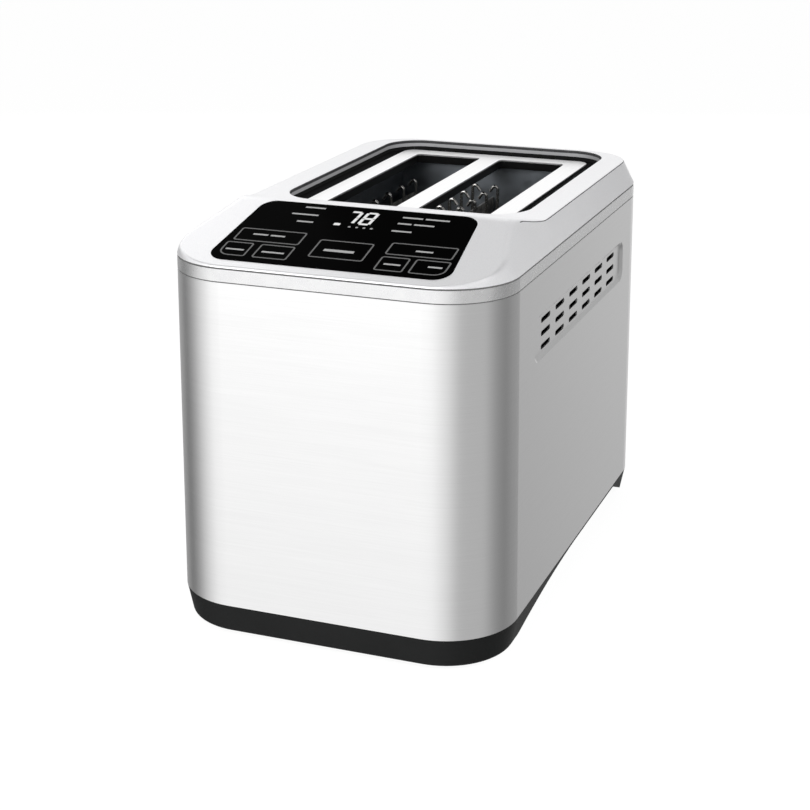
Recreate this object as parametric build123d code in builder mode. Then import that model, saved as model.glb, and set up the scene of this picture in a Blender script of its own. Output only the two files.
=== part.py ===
# A two-slot toaster with a touch panel and a motor lift.
# Millimetres, +Z up, origin on the floor under the middle of the body, front towards -Y.
import os
from math import atan, cos, degrees, pi, radians, sin, tan

from build123d import *

os.makedirs("parts", exist_ok=True)

# Steel wrap: the drafted outer wall
side_margin = 22.65
back_margin = 11.95
corner_radius = 37.0
draft_angle = 0.76
wrap_gauge = 0.8

# Side vents, pressed in and pierced
vent_length = 170.0
vent_height = 22.5
vent_corner = 6.0
vent_depth = 1.4
vent_wall_angle = 55.0
vent_drop = 31.5
vent_shift = 3.5
vent_slot_length = 15.5
vent_slot_height = 2.6
vent_pitch = 24.8
vent_row_pitch = 6.7
vent_columns = 6
vent_rows = 3

# Base
foot_height = 2.0
foot_diameter = 15.0
foot_seat = 1.0
foot_inset_x = 27.5
foot_inset_y = 30.5
base_height = 15.5
base_inset = 3.0
base_edge_radius = 2.5
base_floor = 2.5
base_wall = 2.6
tub_radius = 26.0
tongue_height = 6.0
tongue_wall = 2.0
scoop_front_margin = 42.5
scoop_sweep = 105.0
scoop_back_margin = 26.5
scoop_ramp = 32.0
scoop_rise = 13.8
scoop_depth = 7.0

# Top: trim band, sloped deck, rim and the well round the slots
lip_height = 7.2
deck_angle = 14.4
deck_step = 0.8
hump_back = 21.0
rim_front = 6.75
rim_rise = 11.6
facet_angle = 27.0
cover_wall = 2.4
cover_line = 0.8
seam_line = 0.5
well_depth = 5.4
well_corner = 20.0

# Bread slots and the plate round them
slot_width = 38.4
slot_length = 139.3
slot_bridge = 11.9
slot_corner = 3.0
slot_collar = 5.0
plate_gauge = 0.8
plate_stand = 1.25
plate_margin = 11.5
plate_front_margin = 8.0
plate_corner = 7.0
groove_width = 9.0
groove_front = 5.0
frame_gauge = 2.0
frame_lap = 9.0
frame_corner = 20.0

# Touch panel
panel_low = 6.0
panel_length = 62.5
panel_top_gap = 4.0
panel_side_margin = 26.5
panel_taper = 5.0
panel_corner = 9.0
glass_thickness = 1.8
glass_proud = 0.3
glass_ledge = 4.0
board_drop = 8.0
board_gauge = 1.6
board_margin = 8.0
board_inset = 6.0
board_top_inset = 2.5
board_screw_bite = 5.0
display_width = 26.0
display_height = 14.0
display_drop = 12.0
pad_diameter = 8.0
left_keys = ((-37.5, 31.5), (-48.5, 16.5), (-29.5, 16.5))
centre_key = (1.5, 24.5)
right_keys = ((40.0, 30.0), (31.0, 16.0), (48.5, 16.0))

# Toasting chamber
sheet_gauge = 0.8
chamber_end_gap = 5.2
bulkhead_side_gap = 22.5
bulkhead_flange = 8.0
bulkhead_flange_gap = 5.0
bulkhead_foot = 14.0
bulkhead_foot_depth = 12.0
tab_width = 8.0
tab_stand = 0.25
reflector_gauge = 0.5
reflector_gap = 8.0
reflector_rise = 6.5
reflector_top_gap = 4.0
mica_gauge = 1.0
mica_rise = 34.5
mica_top_gap = 20.2
mica_tab_height = 12.0
heater_gap = 22.9
ribbon_width = 2.0
ribbon_gauge = 0.3
ribbon_pitch = 9.0
ribbon_margin = 8.0

# Bread guards
guard_gap = 17.6
guard_wire = 1.8
guard_pivot_rod = 2.4
guard_pivot_rise = 26.5
guard_apex_gap = 10.7
guard_wires = 7
guard_end_gap = 9.0
guard_bars = 3
guard_bend = 1.6
guard_hook_turn = 145.0
guard_hook_leg = 3.0
guard_weld = 0.45
pivot_clearance = 0.08
pivot_end = 2.6

# Bread carriage and lift
lift_travel = 65.0
rack_width = 22.0
rack_bar_width = 5.0
rack_bar_height = 5.0
rack_wire = 2.4
rack_wires = 10
rack_end_gap = 4.0
arm_slot_width = 8.0
arm_slot_margin = 4.0
carriage_gap = 3.8
carriage_gauge = 1.2
carriage_width = 84.0
carriage_below = 10.0
carriage_above = 28.0
rod_diameter = 5.0
rod_spacing = 66.0
rod_stand = 6.8
bush_width = 14.0
bush_clearance = 0.05
bush_edge = 1.0
gear_module = 1.0
pinion_teeth = 16
tooth_half = 0.62
tooth_addendum = 0.8
tooth_dedendum = 1.2
tooth_flank = 20.0
gear_face = 8.6
gear_end_gap = 0.8
gear_bar = 6.0
gear_spare = 7.0
lift_low_gap = 5.3
lift_high_gap = 14.0
lift_gauge = 1.2
shaft_diameter = 6.0
shaft_clearance = 0.06
gearbox_width = 34.0
gearbox_height = 34.0
gearbox_depth = 16.0
gearbox_corner = 2.0
gearbox_screw_spread = 26.0
web_gap = 1.0
motor_diameter = 27.0
motor_length = 36.0
motor_edge = 1.5
switch_width = 12.8
switch_height = 10.0
switch_depth = 6.5
switch_plunger = 3.6
switch_low_gap = 15.3
trip_gap = 0.4
trip_width = 6.0
trip_height = 2.0

# Crumb tray
tray_side_gap = 5.0
tray_height = 8.0
tray_gauge = 0.6
tray_front_gap = 4.0
tray_clearance = 0.5
handle_depth = 5.0
handle_height = 9.0
grip_width = 50.0
grip_height = 5.0
grip_depth = 3.0

# Power electronics and the cord inlet
power_board_width = 74.0
power_board_length = 44.0
power_board_front_gap = 12.0
power_board_post = 8.0
post_diameter = 7.0
relay_size = (16.0, 20.0, 16.0)
capacitor_diameter = 12.0
capacitor_height = 20.0
capacitor_edge = 1.0
terminal_size = (13.0, 26.0, 12.0)
gland_bore = 6.4
gland_body = 8.0
gland_flange = 9.6
gland_flange_depth = 2.0
gland_rise = 6.6
gland_place = 12.0
fuse_diameter = 4.0
fuse_length = 20.0
fuse_rise = 60.0

# Fasteners and fits
screw_shank = 3.0
screw_head = 5.6
screw_head_height = 2.0
screw_bite = 6.0
screw_spare = 1.0
thread_clearance = 0.05
hole_clearance = 0.25
fit_gap = 0.2
slide_gap = 0.3

# Levels and places worked out from the sizes above
z_base = foot_height
z_floor = z_base + base_floor
z_wrap = z_base + base_height
z_lift = z_wrap + lift_gauge
z_pinion = z_lift + lift_low_gap + lift_travel + gear_spare
z_lift_top = z_pinion + lift_travel + gear_spare + lift_high_gap
z_seam = z_lift_top
wrap_height = z_seam - z_wrap
z_lip = z_seam + lip_height
z_rim = z_lip + deck_step + rim_rise
z_frame = z_rim - well_depth
z_plate = z_frame + plate_stand
z_frame_under = z_frame - frame_gauge
base_taper = degrees(atan(base_inset / base_height))
slot_x = (slot_bridge + slot_width) / 2
plate_width = slot_bridge + 2 * slot_width + 2 * plate_margin
plate_length = plate_front_margin + slot_length + plate_margin
well_width = plate_width + 2 * groove_width
well_length = groove_front + plate_length + groove_width
panel_high = panel_low + panel_length
crest_back = (panel_high + panel_top_gap) * cos(radians(deck_angle))
lip_inset = (z_lip - z_wrap) * tan(radians(draft_angle))
well_margin = lip_inset + crest_back + hump_back + rim_front
body_width = well_width + 2 * side_margin
body_length = well_margin + well_length + back_margin
well_front = -body_length / 2 + well_margin
well_back = well_front + well_length
plate_front = well_front + groove_front
plate_back = plate_front + plate_length
slot_front = plate_front + plate_front_margin
slot_back = slot_front + slot_length
slot_middle = (slot_front + slot_back) / 2
bulkhead_width = body_width - 2 * bulkhead_side_gap
panel_width_low = body_width - 2 * panel_side_margin
panel_width_high = panel_width_low - 2 * panel_taper
chamber_front = slot_front - chamber_end_gap
chamber_back = slot_back + chamber_end_gap
chamber_length = chamber_back - chamber_front
chamber_middle = (chamber_front + chamber_back) / 2


def outline(z, gap=0.0):
    """Width, length and corner radius of the drafted body at height z, drawn in by gap."""
    inset = (z - z_wrap) * tan(radians(draft_angle)) + gap
    return body_width - 2 * inset, body_length - 2 * inset, corner_radius - inset


def drafted(z, height, gap=0.0, mode=Mode.ADD, taper=draft_angle):
    """A block with the body's outline at height z, drawn in by gap, leaning in as it rises."""
    with BuildSketch(Plane.XY.offset(z)) as section:
        RectangleRounded(*outline(z, gap))
    extrude(section.sketch, amount=height, taper=taper, mode=mode)


def pan_screw(length):
    """A pan-head screw pointing up, with the seat of its head at the origin of its place."""
    Cylinder(screw_shank / 2, length, align=(Align.CENTER, Align.CENTER, Align.MIN))
    Cylinder(screw_head / 2, screw_head_height, align=(Align.CENTER, Align.CENTER, Align.MAX))


# Steel wrap
with BuildPart() as steel_wrap:
    drafted(z_wrap, wrap_height)
    drafted(z_wrap, wrap_height, wrap_gauge, Mode.SUBTRACT)
    vent_z = z_seam - vent_drop
    for side in (-1, 1):
        vent_plane = Plane(
            origin=(side * outline(vent_z)[0] / 2, vent_shift, vent_z),
            x_dir=(0, side, 0),
            z_dir=(side * cos(radians(draft_angle)), 0, sin(radians(draft_angle))),
        )
        with BuildSketch(vent_plane):
            RectangleRounded(vent_length + 2 * wrap_gauge, vent_height + 2 * wrap_gauge, vent_corner)
        extrude(amount=-vent_depth - wrap_gauge, taper=vent_wall_angle)
        with BuildSketch(vent_plane):
            RectangleRounded(vent_length, vent_height, vent_corner)
        extrude(amount=-vent_depth, taper=vent_wall_angle, mode=Mode.SUBTRACT)
        with BuildSketch(vent_plane):
            with GridLocations(vent_pitch, vent_row_pitch, vent_columns, vent_rows):
                SlotOverall(vent_slot_length, vent_slot_height)
        extrude(amount=-vent_depth - 2 * wrap_gauge, mode=Mode.SUBTRACT)
steel_wrap.part.label = "steel_wrap"
export_step(steel_wrap.part, "parts/steel_wrap.step")

# Base: a moulded tub with scooped sides and a tongue inside the wrap
tub_width = body_width - 2 * (base_inset + scoop_depth + base_wall)
tub_length = body_length - 2 * (base_inset + base_wall)
scoop_face = body_width / 2 - base_inset - scoop_depth
scoop_front = -body_length / 2 + scoop_front_margin
scoop_back = body_length / 2 - scoop_back_margin
boss_x = bulkhead_width / 2 - bulkhead_foot / 2
boss_front = chamber_front - sheet_gauge - bulkhead_foot_depth / 2
boss_back = chamber_back + sheet_gauge + bulkhead_foot_depth / 2
boss_places = [(side * boss_x, y) for side in (-1, 1) for y in (boss_front, boss_back)]
tray_width = 2 * (boss_x - bulkhead_foot / 2 - tray_side_gap)
tray_opening_top = z_floor + slide_gap + handle_height + tray_clearance
foot_places = [
    (side * (body_width / 2 - foot_inset_x), end * (body_length / 2 - foot_inset_y))
    for side in (-1, 1)
    for end in (-1, 1)
]
power_board_y = -body_length / 2 + base_inset + base_wall + power_board_front_gap + power_board_length / 2
power_posts_x = power_board_width / 2 - post_diameter / 2
power_posts_y = power_board_length / 2 - post_diameter / 2
gland_z = z_base + gland_rise
with BuildPart() as base:
    drafted(z_wrap, -base_height, taper=base_taper)
    fillet(base.faces().sort_by(Axis.Z)[0].edges(), radius=base_edge_radius)
    with BuildSketch(Plane.XY.offset(z_floor)):
        RectangleRounded(tub_width, tub_length, tub_radius)
    extrude(amount=base_height, mode=Mode.SUBTRACT)
    drafted(z_wrap, tongue_height, wrap_gauge + fit_gap)
    drafted(z_wrap, tongue_height, wrap_gauge + fit_gap + tongue_wall, Mode.SUBTRACT)
    for side in (-1, 1):
        with BuildSketch(Plane.YZ.offset(side * scoop_face)):
            with BuildLine():
                scoop_crest = (scoop_front + scoop_sweep, z_base + scoop_rise)
                scoop_end = (scoop_back - scoop_ramp, z_base + scoop_rise)
                TangentArc(scoop_crest, (scoop_front, z_base), tangent=(-1, 0))
                Polyline(scoop_crest, scoop_end, (scoop_back, z_base))
                Polyline((scoop_back, z_base), (scoop_back, 0), (scoop_front, 0), (scoop_front, z_base))
            make_face()
        extrude(amount=side * (scoop_depth + base_inset), mode=Mode.SUBTRACT)
    with Locations((0, body_length / 2, z_floor)):
        Box(
            tray_width + 2 * tray_clearance,
            2 * (base_inset + base_wall + tray_clearance),
            tray_opening_top - z_floor,
            align=(Align.CENTER, Align.CENTER, Align.MIN),
            mode=Mode.SUBTRACT,
        )
    with Locations(*[(x, y, z_floor) for x, y in boss_places]):
        Box(
            bulkhead_foot,
            bulkhead_foot_depth,
            z_wrap - z_floor,
            align=(Align.CENTER, Align.CENTER, Align.MIN),
        )
    with Locations(*[(x, y, z_wrap) for x, y in boss_places]):
        Hole(screw_shank / 2 + thread_clearance, depth=screw_bite + screw_spare)
    with Locations((0, power_board_y, z_floor)):
        with GridLocations(2 * power_posts_x, 2 * power_posts_y, 2, 2):
            Cylinder(post_diameter / 2, power_board_post, align=(Align.CENTER, Align.CENTER, Align.MIN))
    with Locations((0, power_board_y, z_floor + power_board_post)):
        with GridLocations(2 * power_posts_x, 2 * power_posts_y, 2, 2):
            Hole(screw_shank / 2 + thread_clearance, depth=screw_bite + screw_spare)
    with Locations(*[(x, y, z_base) for x, y in foot_places]):
        Cylinder(
            foot_diameter / 2 + fit_gap,
            foot_seat,
            align=(Align.CENTER, Align.CENTER, Align.MIN),
            mode=Mode.SUBTRACT,
        )
    with Locations((-scoop_face, gland_place, gland_z)):
        Cylinder(gland_body / 2 + thread_clearance, 3 * base_wall, rotation=(0, 90, 0), mode=Mode.SUBTRACT)
base.part.label = "base"
export_step(base.part, "parts/base.step")

# Four rubber feet in round seats under the base
with BuildPart() as base_feet:
    with Locations(*[(x, y, 0) for x, y in foot_places]):
        Cylinder(foot_diameter / 2, foot_height + foot_seat, align=(Align.CENTER, Align.CENTER, Align.MIN))
    fillet(base_feet.edges().group_by(Axis.Z)[0], radius=foot_height / 3)
base_feet.part.label = "base_feet"
export_step(base_feet.part, "parts/base_feet.step")

# Cord gland in the left scoop, an open bore for a mains cord
with BuildPart() as cord_gland:
    with Locations((-scoop_face, gland_place, gland_z)):
        Cylinder(
            gland_body / 2, 2 * base_wall, rotation=(0, 90, 0), align=(Align.CENTER, Align.CENTER, Align.MIN)
        )
        Cylinder(
            gland_flange / 2,
            gland_flange_depth,
            rotation=(0, -90, 0),
            align=(Align.CENTER, Align.CENTER, Align.MIN),
        )
        Cylinder(gland_bore / 2, 6 * base_wall, rotation=(0, 90, 0), mode=Mode.SUBTRACT)
cord_gland.part.label = "cord_gland"
export_step(cord_gland.part, "parts/cord_gland.step")

# Crumb tray and its handle
tray_front = chamber_front + tray_front_gap
tray_back = body_length / 2 - base_inset - handle_depth
tray_z = z_floor + slide_gap
with BuildPart() as crumb_tray:
    with Locations((0, (tray_front + tray_back) / 2, tray_z)):
        Box(tray_width, tray_back - tray_front, tray_height, align=(Align.CENTER, Align.CENTER, Align.MIN))
    offset(amount=-tray_gauge, openings=crumb_tray.faces().sort_by(Axis.Z)[-1])
crumb_tray.part.label = "crumb_tray"
export_step(crumb_tray.part, "parts/crumb_tray.step")

with BuildPart() as crumb_tray_handle:
    with Locations((0, tray_back, tray_z)):
        Box(tray_width, handle_depth, handle_height, align=(Align.CENTER, Align.MIN, Align.MIN))
    fillet(crumb_tray_handle.faces().sort_by(Axis.Y)[-1].edges().filter_by(Axis.Z), radius=handle_depth / 3)
    with Locations((0, tray_back + handle_depth, tray_z)):
        Box(grip_width, 2 * grip_depth, 2 * grip_height, mode=Mode.SUBTRACT)
crumb_tray_handle.part.label = "crumb_tray_handle"
export_step(crumb_tray_handle.part, "parts/crumb_tray_handle.step")

# Trim band between the wrap and the cover, with a fine shadow line along each edge
with BuildPart() as trim_band:
    drafted(z_seam, lip_height)
    drafted(z_seam - tongue_height, tongue_height, wrap_gauge + fit_gap)
    for z, line in ((z_seam, seam_line), (z_lip - cover_line, cover_line)):
        with BuildSketch(Plane.XY.offset(z)) as groove:
            RectangleRounded(*outline(z, -line))
            RectangleRounded(*outline(z, line), mode=Mode.SUBTRACT)
        extrude(groove.sketch, amount=line, mode=Mode.SUBTRACT)
    drafted(
        z_seam - tongue_height, tongue_height + lip_height, wrap_gauge + fit_gap + tongue_wall, Mode.SUBTRACT
    )
trim_band.part.label = "trim_band"
export_step(trim_band.part, "parts/trim_band.step")

# Top cover: sloped deck, side facets, raised rim and the walls of the well
deck_front = -outline(z_lip)[1] / 2
deck_slope = tan(radians(deck_angle))
crest_y = deck_front + crest_back
z_crest = z_lip + deck_step + deck_slope * crest_back
well_middle = (well_front + well_back) / 2
deck_plane = Plane(
    origin=(0, deck_front, z_lip + deck_step),
    x_dir=(1, 0, 0),
    z_dir=(0, -sin(radians(deck_angle)), cos(radians(deck_angle))),
)
screw_lap = well_width / 2 + frame_lap / 2
frame_screw_rows = (well_front + frame_lap, well_back - well_corner)
frame_screw_places = [(side * screw_lap, y) for side in (-1, 1) for y in frame_screw_rows]
board_low = panel_low + board_inset
board_high = panel_high - board_top_inset
board_boss = panel_width_low / 2 + screw_head / 2 - board_margin / 4
board_boss_places = [
    (side * board_boss, s) for side in (-1, 1) for s in (board_low + screw_head, board_high - screw_head)
]


def panel_outline(gap=0.0):
    """The touch panel's outline on the deck, drawn in by gap, with round corners."""
    low, high = panel_width_low / 2 - gap, panel_width_high / 2 - gap
    with BuildSketch(deck_plane) as panel:
        Polygon(
            (-low, panel_low + gap),
            (low, panel_low + gap),
            (high, panel_high - gap),
            (-high, panel_high - gap),
            align=None,
        )
        fillet(panel.vertices(), radius=panel_corner - gap)
    return panel.sketch


def cover_form(gap, mode):
    """The cover's form above the band, drawn in by gap: facets all round, cut by deck, hump and rim."""
    with BuildSketch(Plane.XY.offset(z_lip)) as section:
        RectangleRounded(*outline(z_lip, gap / cos(radians(facet_angle))))
    block = extrude(section.sketch, amount=z_crest - z_lip + cover_wall, taper=facet_angle, mode=Mode.PRIVATE)
    drop = gap / cos(radians(deck_angle))
    front, back = deck_front - cover_wall, -deck_front + cover_wall
    with BuildSketch(Plane.YZ) as side:
        Polygon(
            (front, z_lip + deck_step - drop - deck_slope * cover_wall),
            (crest_y, z_crest - drop),
            (crest_y + hump_back, z_rim - gap),
            (back, z_rim - gap),
            (back, z_seam),
            (front, z_seam),
            align=None,
        )
    profile = extrude(side.sketch, amount=body_width, both=True, mode=Mode.PRIVATE)
    add(block & profile, mode=mode)


with BuildPart() as top_cover:
    cover_form(0, Mode.ADD)
    cover_form(cover_wall, Mode.SUBTRACT)
    with BuildSketch(Plane.XY.offset(z_frame)):
        with Locations((0, well_middle)):
            RectangleRounded(
                well_width + 2 * cover_wall, well_length + 2 * cover_wall, well_corner + cover_wall
            )
    extrude(amount=well_depth - cover_wall / 2)
    with BuildSketch(Plane.XY.offset(z_frame)):
        with Locations((0, well_middle)):
            RectangleRounded(well_width, well_length, well_corner)
    extrude(amount=2 * well_depth, mode=Mode.SUBTRACT)
    with Locations(*[(x, y, z_frame) for x, y in frame_screw_places]):
        Cylinder(frame_lap / 2, well_depth - cover_wall / 2, align=(Align.CENTER, Align.CENTER, Align.MIN))
        Cylinder(
            screw_shank / 2 + thread_clearance,
            well_depth - cover_wall / 2,
            align=(Align.CENTER, Align.CENTER, Align.MIN),
            mode=Mode.SUBTRACT,
        )
    with BuildSketch(deck_plane):
        with Locations(*board_boss_places):
            Circle(screw_head / 2)
    extrude(amount=-board_drop)
    extrude(panel_outline(), amount=glass_proud - glass_thickness, mode=Mode.SUBTRACT)
    extrude(panel_outline(glass_ledge), amount=-3 * cover_wall, mode=Mode.SUBTRACT)
    with BuildSketch(deck_plane.offset(-board_drop)):
        with Locations(*board_boss_places):
            Circle(screw_shank / 2 + thread_clearance)
    extrude(amount=board_drop - cover_wall, mode=Mode.SUBTRACT)
top_cover.part.label = "top_cover"
export_step(top_cover.part, "parts/top_cover.step")

# Black glass of the touch panel, bonded in its seat in the deck
with BuildPart() as control_glass:
    extrude(panel_outline(fit_gap), amount=glass_proud)
    extrude(panel_outline(fit_gap), amount=glass_proud - glass_thickness)
    chamfer(control_glass.faces().sort_by(Axis((0, 0, 0), deck_plane.z_dir))[-1].edges(), length=glass_proud)
control_glass.part.label = "control_glass"
export_step(control_glass.part, "parts/control_glass.step")

# Black frame under the well: its rim is the floor of the groove round the plate
frame_slot_gap = plate_gauge + slide_gap
slot_places = [(side * slot_x, slot_middle) for side in (-1, 1)]
tab_rows = (chamber_front - sheet_gauge / 2, chamber_back + sheet_gauge / 2)
tab_places = [(side * slot_x, y) for side in (-1, 1) for y in tab_rows]
with BuildPart() as slot_frame:
    with BuildSketch(Plane.XY.offset(z_frame_under)):
        with Locations((0, well_middle)):
            RectangleRounded(
                well_width + 2 * frame_lap, well_length + 2 * cover_wall, frame_corner
            )
        with Locations(*slot_places):
            RectangleRounded(
                slot_width + 2 * frame_slot_gap,
                slot_length + 2 * frame_slot_gap,
                slot_corner,
                mode=Mode.SUBTRACT,
            )
        with Locations(*tab_places):
            Rectangle(tab_width + 2 * fit_gap, sheet_gauge + 2 * fit_gap, mode=Mode.SUBTRACT)
        with Locations(*frame_screw_places):
            Circle(screw_shank / 2 + hole_clearance, mode=Mode.SUBTRACT)
    extrude(amount=frame_gauge)
slot_frame.part.label = "slot_frame"
export_step(slot_frame.part, "parts/slot_frame.step")

# Pressed steel plate with turned-down edges and a collar in each slot
with BuildPart() as slot_plate:
    with BuildSketch(Plane.XY.offset(z_frame)):
        with Locations((0, (plate_front + plate_back) / 2)):
            RectangleRounded(plate_width, plate_length, plate_corner)
    extrude(amount=plate_stand)
    fillet(slot_plate.faces().sort_by(Axis.Z)[-1].edges(), radius=plate_gauge / 2)
    with BuildSketch(Plane.XY.offset(z_frame)):
        with Locations((0, (plate_front + plate_back) / 2)):
            RectangleRounded(
                plate_width - 2 * plate_gauge,
                plate_length - 2 * plate_gauge,
                plate_corner - plate_gauge,
            )
    extrude(amount=plate_stand - plate_gauge, mode=Mode.SUBTRACT)
    with BuildSketch(Plane.XY.offset(z_plate - slot_collar)):
        with Locations(*slot_places):
            RectangleRounded(
                slot_width + 2 * plate_gauge, slot_length + 2 * plate_gauge, slot_corner + plate_gauge
            )
    extrude(amount=slot_collar)
    with BuildSketch(Plane.XY.offset(z_plate - slot_collar)):
        with Locations(*slot_places):
            RectangleRounded(slot_width, slot_length, slot_corner)
    extrude(amount=slot_collar, mode=Mode.SUBTRACT)
slot_plate.part.label = "slot_plate"
export_step(slot_plate.part, "parts/slot_plate.step")

with BuildPart() as frame_screws:
    with Locations(*[(x, y, z_frame_under) for x, y in frame_screw_places]):
        pan_screw(frame_gauge + well_depth - cover_wall)
frame_screws.part.label = "frame_screws"
export_step(frame_screws.part, "parts/frame_screws.step")

# Control board under the deck, with its display, touch pads and screws
board_top = deck_plane.offset(-board_drop)
reach_to_glass = board_drop + glass_proud - glass_thickness - slide_gap
with BuildPart() as control_board:
    with BuildSketch(board_top):
        with Locations((0, (board_low + board_high) / 2)):
            Rectangle(2 * board_boss + board_margin, board_high - board_low)
        with Locations(*board_boss_places):
            Circle(screw_shank / 2 + hole_clearance, mode=Mode.SUBTRACT)
    extrude(amount=-board_gauge)
control_board.part.label = "control_board"
export_step(control_board.part, "parts/control_board.step")

with BuildPart() as display_module:
    with BuildSketch(board_top):
        with Locations((0, panel_high - display_drop)):
            Rectangle(display_width, display_height)
    extrude(amount=reach_to_glass)
display_module.part.label = "display_module"
export_step(display_module.part, "parts/display_module.step")

with BuildPart() as touch_pads:
    with BuildSketch(board_top):
        with Locations(*left_keys, centre_key, *right_keys):
            Circle(pad_diameter / 2)
    extrude(amount=reach_to_glass)
touch_pads.part.label = "touch_pads"
export_step(touch_pads.part, "parts/touch_pads.step")

with BuildPart(board_top.offset(-board_gauge)) as board_screws:
    with Locations(*board_boss_places):
        pan_screw(board_gauge + board_screw_bite)
board_screws.part.label = "board_screws"
export_step(board_screws.part, "parts/board_screws.step")

# Chamber ends: sheet bulkheads that carry heaters, guards and lift, tabbed into the frame above
z_pivot = z_wrap + guard_pivot_rise
z_trip = z_lift + switch_low_gap + switch_height + switch_plunger
z_rack = z_trip + trip_gap + lift_travel + carriage_below
z_mica = z_wrap + mica_rise
mica_height = z_frame_under - mica_top_gap - z_mica
heater_x = slot_x + heater_gap
heater_places = {"left": -heater_x, "centre": 0.0, "right": heater_x}
guard_places = {
    "left_outer": -slot_x - guard_gap,
    "left_inner": -slot_x + guard_gap,
    "right_inner": slot_x - guard_gap,
    "right_outer": slot_x + guard_gap,
}
mica_tab_z = z_mica + mica_height / 2


def bulkhead_sheet(inner_face, way):
    """One chamber end: a sheet outside inner_face with flange, tabs and feet, pierced for what it carries."""
    middle = inner_face + way * sheet_gauge / 2
    outer_face = inner_face + way * sheet_gauge
    beside = Align.MIN if way > 0 else Align.MAX
    with Locations((0, middle, z_wrap)):
        Box(
            bulkhead_width, sheet_gauge, z_frame_under - z_wrap, align=(Align.CENTER, Align.CENTER, Align.MIN)
        )
    with Locations((0, outer_face, z_frame_under)):
        Box(
            bulkhead_width - 2 * bulkhead_flange_gap,
            bulkhead_flange,
            sheet_gauge,
            align=(Align.CENTER, beside, Align.MAX),
        )
    with Locations(*[(side * slot_x, middle, z_frame_under) for side in (-1, 1)]):
        Box(tab_width, sheet_gauge, frame_gauge + tab_stand, align=(Align.CENTER, Align.CENTER, Align.MIN))
    with Locations(*[(side * boss_x, outer_face, z_wrap) for side in (-1, 1)]):
        Box(bulkhead_foot, bulkhead_foot_depth, sheet_gauge, align=(Align.CENTER, beside, Align.MIN))
    with Locations(*[(x, y, z_wrap) for x, y in boss_places]):
        Cylinder(screw_shank / 2 + hole_clearance, 4 * sheet_gauge, mode=Mode.SUBTRACT)
    with Locations(*[(x, middle, z_pivot) for x in guard_places.values()]):
        Cylinder(
            guard_pivot_rod / 2 + pivot_clearance, 4 * sheet_gauge, rotation=(90, 0, 0), mode=Mode.SUBTRACT
        )
    with Locations(*[(x, middle, mica_tab_z) for x in heater_places.values()]):
        Box(
            mica_gauge + 2 * fit_gap, 4 * sheet_gauge, mica_tab_height + 2 * fit_gap, mode=Mode.SUBTRACT
        )


with BuildPart() as front_bulkhead:
    bulkhead_sheet(chamber_front, -1)
    arm_slot_low = z_rack - lift_travel - rack_bar_height - arm_slot_margin
    arm_slot_high = z_rack + arm_slot_margin
    with Locations(*[(side * slot_x, chamber_front, arm_slot_low) for side in (-1, 1)]):
        Box(
            arm_slot_width,
            4 * sheet_gauge,
            arm_slot_high - arm_slot_low,
            align=(Align.CENTER, Align.CENTER, Align.MIN),
            mode=Mode.SUBTRACT,
        )
front_bulkhead.part.label = "front_bulkhead"
export_step(front_bulkhead.part, "parts/front_bulkhead.step")

with BuildPart() as rear_bulkhead:
    bulkhead_sheet(chamber_back, 1)
rear_bulkhead.part.label = "rear_bulkhead"
export_step(rear_bulkhead.part, "parts/rear_bulkhead.step")

with BuildPart() as bulkhead_screws:
    with Locations(*[Location((x, y, z_wrap + sheet_gauge), (180, 0, 0)) for x, y in boss_places]):
        pan_screw(sheet_gauge + screw_bite)
bulkhead_screws.part.label = "bulkhead_screws"
export_step(bulkhead_screws.part, "parts/bulkhead_screws.step")

# Side reflectors, bright sheets held between the bulkheads
for name, side in (("left", -1), ("right", 1)):
    with BuildPart() as reflector:
        with Locations((side * (heater_x + reflector_gap), chamber_middle, z_wrap + reflector_rise)):
            Box(
                reflector_gauge,
                chamber_length,
                z_frame_under - reflector_top_gap - z_wrap - reflector_rise,
                align=(Align.CENTER, Align.CENTER, Align.MIN),
            )
    reflector.part.label = f"reflector_{name}"
    export_step(reflector.part, f"parts/reflector_{name}.step")


# Mica boards, each tabbed into both bulkheads
for name, x in heater_places.items():
    with BuildPart() as heater_board:
        with Locations((x, chamber_middle, z_mica)):
            Box(
                mica_gauge,
                chamber_length - 2 * fit_gap,
                mica_height,
                align=(Align.CENTER, Align.CENTER, Align.MIN),
            )
        with Locations((x, chamber_middle, mica_tab_z)):
            Box(mica_gauge, chamber_length + 4 * sheet_gauge, mica_tab_height)
    heater_board.part.label = f"heater_board_{name}"
    export_step(heater_board.part, f"parts/heater_board_{name}.step")


def ribbon(face, way):
    """Heating ribbon run back and forth over one face of a mica board, as one band."""
    first = z_mica + ribbon_margin
    runs = int((mica_height - 2 * ribbon_margin) / ribbon_pitch) + 1
    length = chamber_length - 2 * ribbon_margin
    beside = Align.MIN if way > 0 else Align.MAX
    for run in range(runs):
        z = first + run * ribbon_pitch
        end = 1 if run % 2 else -1
        with Locations((face, chamber_middle, z)):
            Box(ribbon_gauge, length, ribbon_width, align=(beside, Align.CENTER, Align.CENTER))
        if run + 1 < runs:
            with Locations((face, chamber_middle + end * (length - ribbon_width) / 2, z)):
                Box(
                    ribbon_gauge, ribbon_width, ribbon_pitch, align=(beside, Align.CENTER, Align.MIN)
                )


ribbon_faces = {"left": (1,), "centre": (-1, 1), "right": (-1,)}
for name, ways in ribbon_faces.items():
    with BuildPart() as heater_ribbon:
        for way in ways:
            ribbon(heater_places[name] + way * mica_gauge / 2, way)
    heater_ribbon.part.label = f"heater_ribbon_{name}"
    export_step(heater_ribbon.part, f"parts/heater_ribbon_{name}.step")

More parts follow.
